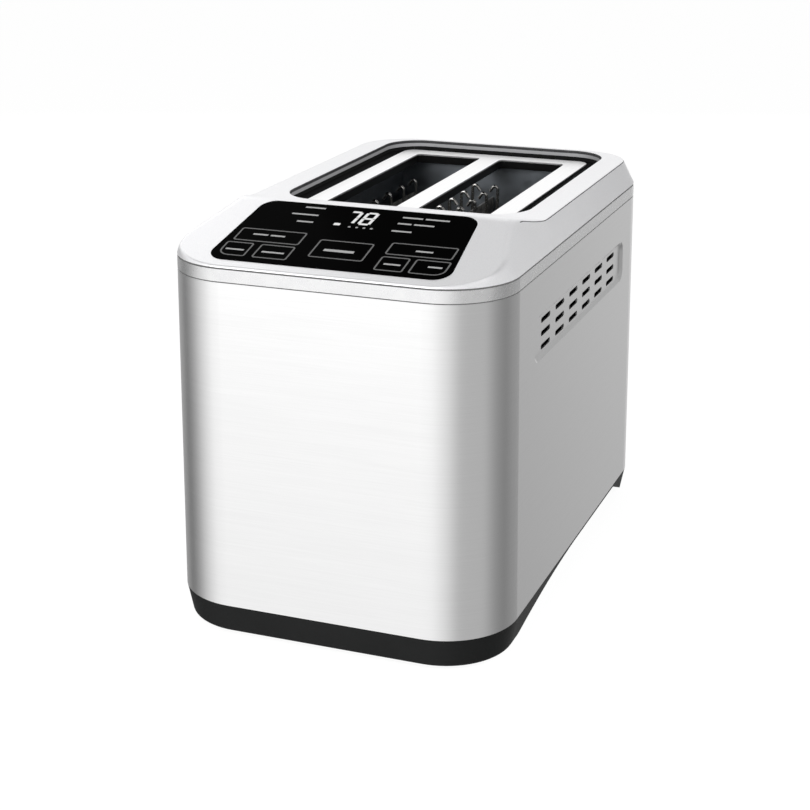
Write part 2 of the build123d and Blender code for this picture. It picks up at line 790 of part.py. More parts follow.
# Bread guards: wire grids that hinge at the foot and close on the bread
guard_first = slot_front + guard_end_gap
guard_step = (slot_length - 2 * guard_end_gap) / (guard_wires - 1)
z_apex = z_frame_under - guard_apex_gap
pivot_length = chamber_length + 2 * (sheet_gauge + pivot_end)
for name, x in guard_places.items():
    away = 1 if x > (slot_x if x > 0 else -slot_x) else -1
    with BuildPart() as guard:
        with Locations((x, chamber_middle, z_pivot)):
            Cylinder(guard_pivot_rod / 2, pivot_length, rotation=(90, 0, 0))
        for wire in range(guard_wires):
            y = guard_first + wire * guard_step
            upright = Plane(origin=(x, y, z_pivot), x_dir=(away, 0, 0), z_dir=(0, -away, 0))
            stem = z_apex - z_pivot - guard_bend
            with BuildLine(upright):
                Line((0, 0), (0, stem))
                bend = JernArc((0, stem), (0, 1), guard_bend, -guard_hook_turn)
                Line(bend @ 1, bend @ 1 + (bend % 1) * guard_hook_leg)
            with BuildSketch(Plane((x, y, z_pivot))):
                Circle(guard_wire / 2)
            sweep()
        for bar in range(guard_bars):
            z = z_pivot + (bar + 1) * (z_apex - z_pivot) / (guard_bars + 1)
            with Locations((x + away * (guard_wire - guard_weld), chamber_middle, z)):
                Cylinder(guard_wire / 2, slot_length - guard_end_gap, rotation=(90, 0, 0))
    guard.part.label = f"bread_guard_{name}"
    export_step(guard.part, f"parts/bread_guard_{name}.step")

# Bread racks: a bar along each slot with cross wires, carried from the front
carriage_back = chamber_front - sheet_gauge - carriage_gap
carriage_front = carriage_back - carriage_gauge
rack_end = slot_back - rack_end_gap
for name, side in (("left", -1), ("right", 1)):
    with BuildPart() as bread_rack:
        with Locations((side * slot_x, carriage_back, z_rack)):
            Box(
                rack_bar_width,
                rack_end - carriage_back,
                rack_bar_height,
                align=(Align.CENTER, Align.MIN, Align.MAX),
            )
        rack_step = (rack_end - slot_front) / (rack_wires + 1)
        for wire in range(rack_wires):
            with Locations((side * slot_x, slot_front + (wire + 1) * rack_step, z_rack)):
                Cylinder(rack_wire / 2, rack_width, rotation=(0, 90, 0))
    bread_rack.part.label = f"bread_rack_{name}"
    export_step(bread_rack.part, f"parts/bread_rack_{name}.step")

# Carriage plate in front of the chamber, with a finger that trips the limit switches
z_carriage = z_rack - carriage_below
carriage_height = carriage_below + carriage_above
lift_depth = 2 * rod_stand
switch_x = -(rod_spacing - bush_width) / 2 + switch_width / 2 + web_gap
with BuildPart() as carriage_plate:
    with Locations((0, carriage_front, z_carriage)):
        Box(
            carriage_width, carriage_gauge, carriage_height, align=(Align.CENTER, Align.MIN, Align.MIN)
        )
    with Locations((switch_x, carriage_front, z_carriage)):
        Box(trip_width, lift_depth - web_gap, trip_height, align=(Align.CENTER, Align.MAX, Align.MIN))
carriage_plate.part.label = "carriage_plate"
export_step(carriage_plate.part, "parts/carriage_plate.step")

# Guide rods, and the bushes that slide on them
rod_y = carriage_front - rod_stand
rod_places = [(side * rod_spacing / 2, rod_y) for side in (-1, 1)]
with BuildPart() as guide_bushes:
    with Locations(*[(x, y, z_carriage) for x, y in rod_places]):
        Box(bush_width, lift_depth, carriage_height, align=(Align.CENTER, Align.CENTER, Align.MIN))
    fillet(guide_bushes.faces().sort_by(Axis.Y)[0].edges().filter_by(Axis.Z), radius=bush_edge)
    with Locations(*[(x, y, z_carriage) for x, y in rod_places]):
        Cylinder(
            rod_diameter / 2 + bush_clearance,
            carriage_height,
            align=(Align.CENTER, Align.CENTER, Align.MIN),
            mode=Mode.SUBTRACT,
        )
guide_bushes.part.label = "guide_bushes"
export_step(guide_bushes.part, "parts/guide_bushes.step")

# Rack and pinion: straight-flanked teeth with running backlash
pitch_radius = gear_module * pinion_teeth / 2
tooth_pitch = pi * gear_module
pinion_x = tooth_dedendum + pitch_radius
tooth_root_half = tooth_half + tooth_dedendum * tan(radians(tooth_flank))
tooth_tip_half = tooth_half - tooth_addendum * tan(radians(tooth_flank))
gear_low = z_pinion - gear_spare
gear_high = z_pinion + lift_travel + gear_spare
first_tooth = -int((gear_spare - tooth_root_half) / tooth_pitch)
last_tooth = int((lift_travel + gear_spare - tooth_root_half) / tooth_pitch)
with BuildPart() as lift_rack:
    with BuildSketch(Plane.XZ.offset(-carriage_front)):
        with Locations((-gear_bar, gear_low)):
            Rectangle(gear_bar, gear_high - gear_low, align=(Align.MIN, Align.MIN))
        for tooth in range(first_tooth, last_tooth):
            with Locations((0, z_pinion + (tooth + 0.5) * tooth_pitch)):
                Polygon(
                    (0, -tooth_root_half),
                    (tooth_dedendum + tooth_addendum, -tooth_tip_half),
                    (tooth_dedendum + tooth_addendum, tooth_tip_half),
                    (0, tooth_root_half),
                    align=None,
                )
    extrude(amount=gear_face + gear_end_gap)
lift_rack.part.label = "lift_rack"
export_step(lift_rack.part, "parts/lift_rack.step")

web_back = carriage_front - lift_depth - web_gap
web_front = web_back - lift_gauge
root_radius = pitch_radius - tooth_dedendum
tip_radius = pitch_radius + tooth_addendum
pinion_start = carriage_front - gear_end_gap
shaft_reach = pinion_start - gear_face - web_front + gearbox_depth / 2
pinion_plane = Plane(origin=(pinion_x, pinion_start, z_pinion), x_dir=(1, 0, 0), z_dir=(0, -1, 0))
with BuildPart() as drive_pinion:
    with BuildSketch(pinion_plane):
        Circle(root_radius)
        with PolarLocations(0, pinion_teeth, start_angle=180):
            Polygon(
                (root_radius - tooth_addendum, -tooth_half - tooth_addendum / 4),
                (pitch_radius, -tooth_half),
                (tip_radius, -tooth_half / 2),
                (tip_radius, tooth_half / 2),
                (pitch_radius, tooth_half),
                (root_radius - tooth_addendum, tooth_half + tooth_addendum / 4),
                align=None,
            )
    extrude(amount=gear_face)
    with BuildSketch(pinion_plane.offset(gear_face)):
        Circle(shaft_diameter / 2)
    extrude(amount=shaft_reach)
drive_pinion.part.label = "drive_pinion"
export_step(drive_pinion.part, "parts/drive_pinion.step")

# Lift frame: one folded sheet that holds the rods' ends and the gear motor
web_width = rod_spacing - bush_width - 2 * web_gap
frame_depth = chamber_front - sheet_gauge - web_front
lift_width = rod_spacing + bush_width
gearbox_screw_places = [
    (pinion_x + a * gearbox_screw_spread / 2, z_pinion + b * gearbox_screw_spread / 2)
    for a in (-1, 1)
    for b in (-1, 1)
]
with BuildPart() as lift_frame:
    with Locations((0, web_front, z_wrap), (0, web_front, z_lift_top)):
        Box(lift_width, frame_depth, lift_gauge, align=(Align.CENTER, Align.MIN, Align.MIN))
    with Locations((0, web_front, z_wrap)):
        Box(web_width, lift_gauge, z_lift_top - z_wrap, align=(Align.CENTER, Align.MIN, Align.MIN))
    with Locations(*[(x, y, z_wrap) for x, y in rod_places], *[(x, y, z_lift_top) for x, y in rod_places]):
        Cylinder(rod_diameter / 2 + thread_clearance, 4 * lift_gauge, mode=Mode.SUBTRACT)
    with Locations((pinion_x, web_front, z_pinion)):
        Cylinder(shaft_diameter / 2 + fit_gap, 4 * lift_gauge, rotation=(90, 0, 0), mode=Mode.SUBTRACT)
    with Locations(*[(x, web_front, z) for x, z in gearbox_screw_places]):
        Cylinder(screw_shank / 2 + hole_clearance, 4 * lift_gauge, rotation=(90, 0, 0), mode=Mode.SUBTRACT)
lift_frame.part.label = "lift_frame"
export_step(lift_frame.part, "parts/lift_frame.step")

with BuildPart() as guide_rods:
    with Locations(*[(x, y, z_wrap) for x, y in rod_places]):
        Cylinder(
            rod_diameter / 2,
            z_lift_top + lift_gauge - z_wrap,
            align=(Align.CENTER, Align.CENTER, Align.MIN),
        )
guide_rods.part.label = "guide_rods"
export_step(guide_rods.part, "parts/guide_rods.step")

# Gear motor in front of the lift frame
with BuildPart() as gearbox:
    with Locations((pinion_x, web_front, z_pinion)):
        Box(gearbox_width, gearbox_depth, gearbox_height, align=(Align.CENTER, Align.MAX, Align.CENTER))
    fillet(gearbox.edges().filter_by(Axis.Y), radius=gearbox_corner)
    with Locations((pinion_x, web_front, z_pinion)):
        Cylinder(
            shaft_diameter / 2 + shaft_clearance,
            gearbox_depth / 2 + slide_gap,
            rotation=(90, 0, 0),
            align=(Align.CENTER, Align.CENTER, Align.MIN),
            mode=Mode.SUBTRACT,
        )
    with Locations(*[(x, web_front, z) for x, z in gearbox_screw_places]):
        Cylinder(
            screw_shank / 2 + thread_clearance,
            screw_bite + screw_spare,
            rotation=(90, 0, 0),
            align=(Align.CENTER, Align.CENTER, Align.MIN),
            mode=Mode.SUBTRACT,
        )
gearbox.part.label = "gearbox"
export_step(gearbox.part, "parts/gearbox.step")

with BuildPart() as lift_motor:
    with Locations((pinion_x, web_front - gearbox_depth, z_pinion)):
        Cylinder(
            motor_diameter / 2,
            motor_length,
            rotation=(90, 0, 0),
            align=(Align.CENTER, Align.CENTER, Align.MIN),
        )
    fillet(lift_motor.faces().sort_by(Axis.Y)[0].edges(), radius=motor_edge)
lift_motor.part.label = "lift_motor"
export_step(lift_motor.part, "parts/lift_motor.step")

with BuildPart() as gearbox_screws:
    with Locations(*[Location((x, web_back, z), (90, 0, 0)) for x, z in gearbox_screw_places]):
        pan_screw(lift_gauge + screw_bite)
gearbox_screws.part.label = "gearbox_screws"
export_step(gearbox_screws.part, "parts/gearbox_screws.step")

# Limit switches below and above the finger's travel
trip_high = z_carriage + trip_height + trip_gap
with BuildPart() as limit_switches:
    for z, way, grow in ((z_trip, -1, Align.MAX), (trip_high, 1, Align.MIN)):
        with Locations((switch_x, web_back, z + way * switch_plunger)):
            Box(switch_width, switch_depth, switch_height, align=(Align.CENTER, Align.MIN, grow))
        with Locations((switch_x, web_back + switch_depth / 2, z)):
            Box(
                switch_depth / 3, switch_depth / 3, switch_plunger, align=(Align.CENTER, Align.CENTER, grow)
            )
limit_switches.part.label = "limit_switches"
export_step(limit_switches.part, "parts/limit_switches.step")

# Power board on its posts in the base, with relay and capacitor
z_power = z_floor + power_board_post
z_power_top = z_power + board_gauge
with BuildPart() as power_board:
    with BuildSketch(Plane.XY.offset(z_power)):
        with Locations((0, power_board_y)):
            Rectangle(power_board_width, power_board_length)
            with GridLocations(2 * power_posts_x, 2 * power_posts_y, 2, 2):
                Circle(screw_shank / 2 + hole_clearance, mode=Mode.SUBTRACT)
    extrude(amount=board_gauge)
power_board.part.label = "power_board"
export_step(power_board.part, "parts/power_board.step")

with BuildPart() as power_board_screws:
    with Locations(Location((0, power_board_y, z_power_top), (180, 0, 0))):
        with GridLocations(2 * power_posts_x, 2 * power_posts_y, 2, 2):
            pan_screw(board_gauge + screw_bite)
power_board_screws.part.label = "power_board_screws"
export_step(power_board_screws.part, "parts/power_board_screws.step")

with BuildPart() as power_relay:
    with Locations((-power_board_width / 4, power_board_y, z_power_top)):
        Box(*relay_size, align=(Align.CENTER, Align.CENTER, Align.MIN))
power_relay.part.label = "power_relay"
export_step(power_relay.part, "parts/power_relay.step")

with BuildPart() as filter_capacitor:
    with Locations((power_board_width / 4, power_board_y, z_power_top)):
        Cylinder(
            capacitor_diameter / 2, capacitor_height, align=(Align.CENTER, Align.CENTER, Align.MIN)
        )
    fillet(filter_capacitor.faces().sort_by(Axis.Z)[-1].edges(), radius=capacitor_edge)
filter_capacitor.part.label = "filter_capacitor"
export_step(filter_capacitor.part, "parts/filter_capacitor.step")

# Terminal block beside the cord gland, and the thermal fuse on the rear bulkhead
with BuildPart() as terminal_block:
    with Locations((-tub_width / 2 + terminal_size[0], gland_place + terminal_size[1], z_floor)):
        Box(*terminal_size, align=(Align.CENTER, Align.CENTER, Align.MIN))
terminal_block.part.label = "terminal_block"
export_step(terminal_block.part, "parts/terminal_block.step")

with BuildPart() as thermal_fuse:
    with Locations((0, chamber_back + sheet_gauge + fuse_diameter / 2 + fit_gap, z_wrap + fuse_rise)):
        Cylinder(fuse_diameter / 2, fuse_length)
thermal_fuse.part.label = "thermal_fuse"
export_step(thermal_fuse.part, "parts/thermal_fuse.step")
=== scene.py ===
# A bread toaster with a touch panel, dressed on its own construction. Metres, +Z up, front towards -Y.
import math

import bmesh
import bpy
from mathutils import Matrix, Vector


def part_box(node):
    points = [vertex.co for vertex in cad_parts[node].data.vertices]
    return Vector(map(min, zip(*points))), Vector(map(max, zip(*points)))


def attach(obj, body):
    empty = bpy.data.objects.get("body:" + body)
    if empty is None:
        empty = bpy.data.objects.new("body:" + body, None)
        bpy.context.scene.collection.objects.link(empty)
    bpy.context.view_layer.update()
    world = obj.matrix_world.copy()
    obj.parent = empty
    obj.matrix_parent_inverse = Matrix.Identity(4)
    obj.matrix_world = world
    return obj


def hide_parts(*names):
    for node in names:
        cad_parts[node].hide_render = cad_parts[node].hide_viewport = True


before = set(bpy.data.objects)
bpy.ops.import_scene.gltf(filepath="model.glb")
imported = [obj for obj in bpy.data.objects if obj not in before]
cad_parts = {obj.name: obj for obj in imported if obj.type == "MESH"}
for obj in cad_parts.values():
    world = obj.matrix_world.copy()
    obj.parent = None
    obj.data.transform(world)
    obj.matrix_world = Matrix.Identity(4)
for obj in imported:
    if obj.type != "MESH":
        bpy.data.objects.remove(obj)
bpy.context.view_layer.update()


# Base, cord gland and tray handle: injection-moulded black polypropylene. The base is one tub, the gland
# sits in its left scoop and the handle on the crumb tray. The mould was spark-eroded, which leaves a fine
# even grain and a soft, low gloss.
MM = 0.001


def srgb(code):
    """A hex colour in sRGB as linear red, green, blue and alpha."""
    channels = [int(code[i : i + 2], 16) / 255 for i in (0, 2, 4)]
    return [c / 12.92 if c <= 0.04045 else ((c + 0.055) / 1.055) ** 2.4 for c in channels] + [1.0]


def add(tree, kind, **values):
    """Adds a node. A value is a setting, an input's value, or the output to link to it; _3 is input 3."""
    node = tree.nodes.new("ShaderNode" + kind)
    for name, value in values.items():
        if name == "stops":
            ramp = node.color_ramp.elements
            ramp.remove(ramp[1])
            ramp[0].position, ramp[0].color = value[0]
            for position, colour in value[1:]:
                ramp.new(position).color = colour
            continue
        numbered = name[0] == "_"
        socket = node.inputs[int(name[1:])] if numbered else node.inputs.get(name.replace("_", " "))
        if socket is None:
            setattr(node, name, value)
        elif isinstance(value, bpy.types.NodeSocket):
            tree.links.new(value, socket)
        else:
            socket.default_value = value
    return node


def start_material(name):
    """An empty material, its node tree and an output for places on the object in metres."""
    made = bpy.data.materials.new(name)
    made.use_nodes = True
    made.node_tree.nodes.clear()
    place = add(made.node_tree, "TexCoord").outputs["Object"]
    return made, made.node_tree, place


def dress(made, *names):
    """Gives a material to pieces of the construction."""
    for name in names:
        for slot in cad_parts[name].material_slots:
            slot.material = made


black_polypropylene, tree, place = start_material("black_polypropylene_spark_grain")
# Spark grain is about a tenth of a millimetre, so it is drawn coarser here, to show at all.
grain_size, flow_size = 0.7 * MM, 45 * MM
grain = add(tree, "TexNoise", Vector=place, Scale=1 / grain_size, Detail=2.0, Roughness=0.6)
flow = add(tree, "TexNoise", Vector=place, Scale=1 / flow_size, Detail=2.0)
tone = add(tree, "ValToRGB", Fac=flow.outputs["Fac"], stops=[(0.3, srgb("111212")), (0.7, srgb("161717"))])
gloss = add(tree, "MapRange", Value=grain.outputs["Fac"], To_Min=0.42, To_Max=0.58)
relief = add(tree, "Bump", Height=grain.outputs["Fac"], Strength=0.35, Distance=0.05 * MM)
shader = add(
    tree, "BsdfPrincipled", Base_Color=tone.outputs["Color"], Roughness=gloss.outputs["Result"],
    Normal=relief.outputs["Normal"], IOR=1.49, Specular_IOR_Level=0.22,
)
add(tree, "OutputMaterial", Surface=shader.outputs["BSDF"])
dress(black_polypropylene, "base", "cord_gland", "crumb_tray_handle")

# Feet and touch pads: moulded black rubber. The feet sit in round seats under the base, and the pads lie
# between the control board and the glass. Rubber scatters light, with a dusty bloom on top.
black_rubber, tree, place = start_material("black_rubber_moulded")
bloom_size = 1.5 * MM
bloom = add(tree, "TexNoise", Vector=place, Scale=1 / bloom_size, Detail=4.0)
tone = add(tree, "ValToRGB", Fac=bloom.outputs["Fac"], stops=[(0.35, srgb("1A1A1A")), (0.75, srgb("2A2928"))])
relief = add(tree, "Bump", Height=bloom.outputs["Fac"], Strength=0.2, Distance=0.05 * MM)
shader = add(
    tree, "BsdfPrincipled", Base_Color=tone.outputs["Color"], Roughness=0.85, IOR=1.52,
    Normal=relief.outputs["Normal"],
)
add(tree, "OutputMaterial", Surface=shader.outputs["BSDF"])
dress(black_rubber, "base_feet", "touch_pads")

# Chamber sheets, crumb tray and lift sheets: aluminised steel, cold-rolled, cut and folded. Its coating
# freezes in faint spangles, and oven heat leaves soft, slightly duller clouds on it.
aluminised_steel, tree, place = start_material("aluminised_steel_mill_finish")
spangle_size, haze_size = 6 * MM, 30 * MM
spangle = add(tree, "TexVoronoi", Vector=place, Scale=1 / spangle_size)
haze = add(tree, "TexNoise", Vector=place, Scale=1 / haze_size, Detail=4.0)
tone = add(tree, "ValToRGB", Fac=haze.outputs["Fac"], stops=[(0.3, srgb("8A8F95")), (0.7, srgb("979CA2"))])
gloss = add(tree, "MapRange", Value=spangle.outputs["Distance"], To_Min=0.34, To_Max=0.5)
shader = add(
    tree, "BsdfPrincipled", Base_Color=tone.outputs["Color"], Metallic=1.0, Roughness=gloss.outputs["Result"]
)
add(tree, "OutputMaterial", Surface=shader.outputs["BSDF"])
dress(
    aluminised_steel, "front_bulkhead", "rear_bulkhead", "reflector_left", "reflector_right", "crumb_tray",
    "lift_frame", "carriage_plate",
)

# Heater boards: split mica, pressed in flakes with a binder, then cut out and tabbed into the chamber's
# ends. It is dull grey, with pale flakes that glint.
pressed_mica, tree, place = start_material("pressed_mica")
mica_flake = 3 * MM
flake = add(tree, "TexVoronoi", Vector=place, Scale=1 / mica_flake)
tone = add(
    tree, "ValToRGB", Fac=flake.outputs["Distance"],
    stops=[(0.0, srgb("84837F")), (0.45, srgb("666562")), (0.9, srgb("474645"))],
)
gloss = add(tree, "MapRange", Value=flake.outputs["Distance"], To_Min=0.35, To_Max=0.65)
shader = add(
    tree, "BsdfPrincipled", Base_Color=tone.outputs["Color"], Roughness=gloss.outputs["Result"], IOR=1.58
)
add(tree, "OutputMaterial", Surface=shader.outputs["BSDF"])
dress(pressed_mica, "heater_board_left", "heater_board_centre", "heater_board_right")

# Heating ribbon: rolled nickel-chrome strip on the mica boards. Its first heating covers it with a
# brown-grey oxide, so it is dark and spotted, with little shine left.
oxidised_ribbon, tree, place = start_material("oxidised_nickel_chrome_ribbon")
oxide_spot = 2 * MM
spots = add(tree, "TexNoise", Vector=place, Scale=1 / oxide_spot, Detail=3.0)
tone = add(tree, "ValToRGB", Fac=spots.outputs["Fac"], stops=[(0.3, srgb("3B3633")), (0.7, srgb("6A625C"))])
shader = add(tree, "BsdfPrincipled", Base_Color=tone.outputs["Color"], Metallic=1.0, Roughness=0.5)
add(tree, "OutputMaterial", Surface=shader.outputs["BSDF"])
dress(oxidised_ribbon, "heater_ribbon_left", "heater_ribbon_centre", "heater_ribbon_right")

# Bread guards, bread racks and guide rods: drawn steel wire and rod, cut, welded and nickel plated. The
# plating is bright and slightly warm, with small clouds in its gloss.
nickel_wire, tree, place = start_material("nickel_plated_wire")
plating_cloud = 0.8 * MM
cloud = add(tree, "TexNoise", Vector=place, Scale=1 / plating_cloud, Detail=2.0)
tone = add(tree, "ValToRGB", Fac=cloud.outputs["Fac"], stops=[(0.3, srgb("B9B7B2")), (0.7, srgb("D6D5D2"))])
gloss = add(tree, "MapRange", Value=cloud.outputs["Fac"], To_Min=0.18, To_Max=0.32)
shader = add(
    tree, "BsdfPrincipled", Base_Color=tone.outputs["Color"], Metallic=1.0, Roughness=gloss.outputs["Result"]
)
add(tree, "OutputMaterial", Surface=shader.outputs["BSDF"])
dress(
    nickel_wire, "bread_guard_left_outer", "bread_guard_left_inner", "bread_guard_right_inner",
    "bread_guard_right_outer", "bread_rack_left", "bread_rack_right", "guide_rods",
)

# Bushes, gear rack, pinion and the display's body: injection-moulded acetal, which slides without oil.
# It is white and slightly waxy, with soft clouds where it flowed in the mould.
white_acetal, tree, place = start_material("white_acetal_moulded")
acetal_cloud = 12 * MM
flow = add(tree, "TexNoise", Vector=place, Scale=1 / acetal_cloud, Detail=2.0)
tone = add(tree, "ValToRGB", Fac=flow.outputs["Fac"], stops=[(0.3, srgb("DEDBD2")), (0.7, srgb("ECEAE4"))])
shader = add(tree, "BsdfPrincipled", Base_Color=tone.outputs["Color"], Roughness=0.42, IOR=1.48)
add(tree, "OutputMaterial", Surface=shader.outputs["BSDF"])
dress(white_acetal, "guide_bushes", "lift_rack", "drive_pinion", "display_module")

# Gearbox, switches, relay and terminal block: moulded black nylon, stiffened with glass fibre. The fibres
# leave faint, wandering flow marks on the surface, some glossier than others.
black_nylon, tree, place = start_material("glass_filled_black_nylon")
fibre_mark = 0.9 * MM
fibre = add(tree, "TexNoise", Vector=place, Scale=1 / fibre_mark, Detail=3.0, Distortion=1.0)
tone = add(tree, "ValToRGB", Fac=fibre.outputs["Fac"], stops=[(0.3, srgb("1D1E20")), (0.7, srgb("303134"))])
gloss = add(tree, "MapRange", Value=fibre.outputs["Fac"], To_Min=0.4, To_Max=0.6)
shader = add(
    tree, "BsdfPrincipled", Base_Color=tone.outputs["Color"], Roughness=gloss.outputs["Result"], IOR=1.53
)
add(tree, "OutputMaterial", Surface=shader.outputs["BSDF"])
dress(black_nylon, "gearbox", "limit_switches", "power_relay", "terminal_block")

# Motor can and screws: steel, deep-drawn for the can and cold-headed for the screws, then bright zinc
# plated. The plating is pale with a faint blue cast and soft clouds.
zinc_steel, tree, place = start_material("bright_zinc_plated_steel")
zinc_cloud = 4 * MM
cloud = add(tree, "TexNoise", Vector=place, Scale=1 / zinc_cloud, Detail=3.0)
tone = add(tree, "ValToRGB", Fac=cloud.outputs["Fac"], stops=[(0.3, srgb("A7ABB0")), (0.7, srgb("C4C6C8"))])
gloss = add(tree, "MapRange", Value=cloud.outputs["Fac"], To_Min=0.25, To_Max=0.4)
shader = add(
    tree, "BsdfPrincipled", Base_Color=tone.outputs["Color"], Metallic=1.0, Roughness=gloss.outputs["Result"]
)
add(tree, "OutputMaterial", Surface=shader.outputs["BSDF"])
dress(
    zinc_steel, "lift_motor", "frame_screws", "board_screws", "bulkhead_screws", "gearbox_screws",
    "power_board_screws",
)

# Circuit boards: glass-epoxy laminate with copper tracks under green solder mask, held by screws. The
# mask is glossy, and the tracks show through it as paler bands.
solder_mask, tree, place = start_material("green_solder_mask_board")
track_spacing = 9 * MM
tracks = add(
    tree, "TexBrick", Vector=place, Scale=1 / track_spacing, Mortar_Size=0.035, Color1=srgb("14532F"),
    Color2=srgb("175A34"), Mortar=srgb("2C7A4B"),
)
shader = add(tree, "BsdfPrincipled", Base_Color=tracks.outputs["Color"], Roughness=0.3, IOR=1.5)
add(tree, "OutputMaterial", Surface=shader.outputs["BSDF"])
dress(solder_mask, "control_board", "power_board")

# Filter capacitor: an aluminium can in a shrunk blue sleeve, soldered to the power board. The sleeve is
# glossy, with slight ripples in its colour where it shrank.
blue_sleeve, tree, place = start_material("blue_shrink_sleeve")
ripple_size = 3 * MM
ripple = add(tree, "TexNoise", Vector=place, Scale=1 / ripple_size, Detail=1.0)
tone = add(tree, "ValToRGB", Fac=ripple.outputs["Fac"], stops=[(0.3, srgb("1B2550")), (0.7, srgb("243063"))])
shader = add(tree, "BsdfPrincipled", Base_Color=tone.outputs["Color"], Roughness=0.28, IOR=1.54)
add(tree, "OutputMaterial", Surface=shader.outputs["BSDF"])
dress(blue_sleeve, "filter_capacitor")

# Thermal fuse: a fired ceramic barrel on the rear bulkhead, close to the heat. Its glaze is off-white and
# glossy, with fine darker specks.
glazed_ceramic, tree, place = start_material("glazed_ceramic")
speck_size = 0.8 * MM
speck = add(tree, "TexNoise", Vector=place, Scale=1 / speck_size, Detail=2.0)
tone = add(tree, "ValToRGB", Fac=speck.outputs["Fac"], stops=[(0.25, srgb("D9D3C4")), (0.5, srgb("E9E5DA"))])
shader = add(tree, "BsdfPrincipled", Base_Color=tone.outputs["Color"], Roughness=0.15, IOR=1.55)
add(tree, "OutputMaterial", Surface=shader.outputs["BSDF"])
dress(glazed_ceramic, "thermal_fuse")

# Steel wrap: one sheet of stainless steel, brushed along its length, bent round the corners and closed at
# the back. Brushing spreads a highlight up and down and leaves it sharp sideways. The real lines are
# finer than a tenth of a millimetre, so they are drawn coarser here, to show at all.
brushed_stainless, tree, place = start_material("stainless_steel_brushed_lengthwise")
line_height, line_length = 0.5 * MM, 40 * MM
along = add(tree, "Mapping", Vector=place, Scale=(1 / line_length, 1 / line_length, 1 / line_height))
lines = add(tree, "TexNoise", Vector=along.outputs["Vector"], Scale=1.0, Detail=3.0, Roughness=0.6)
tone = add(tree, "ValToRGB", Fac=lines.outputs["Fac"], stops=[(0.3, srgb("F8F8F8")), (0.7, srgb("FCFCFC"))])
gloss = add(tree, "MapRange", Value=lines.outputs["Fac"], To_Min=0.26, To_Max=0.34)
sweep = add(tree, "Tangent", direction_type="RADIAL", axis="Z")
shader = add(
    tree, "BsdfPrincipled", Base_Color=tone.outputs["Color"], Metallic=1.0, Roughness=gloss.outputs["Result"],
    Anisotropic=0.6, Anisotropic_Rotation=0.25, Tangent=sweep.outputs["Tangent"],
)
add(tree, "OutputMaterial", Surface=shader.outputs["BSDF"])
dress(brushed_stainless, "steel_wrap")

# Trim band: one moulded ABS ring between the wrap and the cover, vacuum-metallised and clear-coated. It
# mirrors the room softly, much as the steel does, but shows no lines.
metallised_abs, tree, place = start_material("satin_metallised_abs")
coat_cloud = 8 * MM
cloud = add(tree, "TexNoise", Vector=place, Scale=1 / coat_cloud, Detail=2.0)
tone = add(tree, "ValToRGB", Fac=cloud.outputs["Fac"], stops=[(0.3, srgb("F4F4F5")), (0.7, srgb("FAFAFA"))])
gloss = add(tree, "MapRange", Value=cloud.outputs["Fac"], To_Min=0.24, To_Max=0.3)
shader = add(
    tree, "BsdfPrincipled", Base_Color=tone.outputs["Color"], Metallic=0.92, Roughness=gloss.outputs["Result"]
)
add(tree, "OutputMaterial", Surface=shader.outputs["BSDF"])
dress(metallised_abs, "trim_band")

# Top cover: one ABS moulding with a sloped deck, a low hump behind it, a flat rim and the walls of the
# well. Its ridges are softly rounded, as they leave the mould. Silver lacquer is sprayed on from outside,
# so the well's walls stay bare grey. A thin dark line along each edge of the rim is painted shade, for
# the shade in the crease at the rim's outer edge and at the top of the well's wall.
lip_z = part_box("trim_band")[1].z
cover_x, cover_y, crest_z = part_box("top_cover")[1]
plate_low, plate_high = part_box("slot_plate")
well_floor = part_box("slot_frame")[1].z
cover_corner = 34.72 * MM
deck_step, rim_rise = 0.8 * MM, 5.4 * MM
deck_z, rim_z = lip_z + deck_step, well_floor + rim_rise
crest_y, crest_round, hump_length = -70 * MM, 3 * MM, 21 * MM
deck_angle = math.atan2(crest_z - deck_z, crest_y + cover_y)
groove, front_groove, well_corner = 9 * MM, 5 * MM, 20 * MM
well_x = plate_high.x + groove
well_front, well_back = plate_low.y - front_groove, plate_high.y + groove
# The second of these is how far the painted shade line runs down the top of the well's wall.
well_edge, wall_shade_band = 0.9 * MM, 0.8 * MM
facet_lean = math.radians(27)
rim_inset = (rim_z - lip_z) * math.tan(facet_lean)
crest_inset, corner_inset, ridge_end = 13 * MM, 0.5 * MM, -128 * MM
ridge_turn, ridge_round, rim_round = 4 * MM, 7 * MM, 0.8 * MM
shoulder_depth, rear_shoulder_depth, rear_start = 18.5 * MM, 7.2 * MM, 100 * MM
shell = 2.4 * MM


def clamp(value, low=0.0, high=1.0):
    """The value, kept between two limits."""
    return min(max(value, low), high)


def soft_min(a, b, width):
    """The lesser of two heights, with the crease between them rounded over that width."""
    near = max(width - abs(a - b), 0.0) / width
    return min(a, b) - near * near * width / 4


def ring(half_x, front, back, radius):
    """Points round a rectangle with round corners, the same number on each ring."""
    corner_steps, side_steps, end_steps = 14, 70, 36
    middle = (front + back) / 2
    half_y = (back - front) / 2
    points = []
    for corner, steps in ((0, side_steps), (1, end_steps), (2, side_steps), (3, end_steps)):
        sign_x = (1, 1, -1, -1)[corner]
        sign_y = (-1, 1, 1, -1)[corner]
        centre = Vector((sign_x * (half_x - radius), middle + sign_y * (half_y - radius)))
        for step in range(corner_steps):
            angle = math.radians(90 * (corner - 1 + step / corner_steps))
            points.append(centre + radius * Vector((math.cos(angle), math.sin(angle))))
        turned = math.radians(90 * corner)
        start = centre + radius * Vector((math.cos(turned), math.sin(turned)))
        run = 2 * (half_y - radius) if corner % 2 == 0 else 2 * (half_x - radius)
        heading = Vector((-math.sin(turned), math.cos(turned)))
        points += [start + heading * run * step / steps for step in range(steps)]
    return points


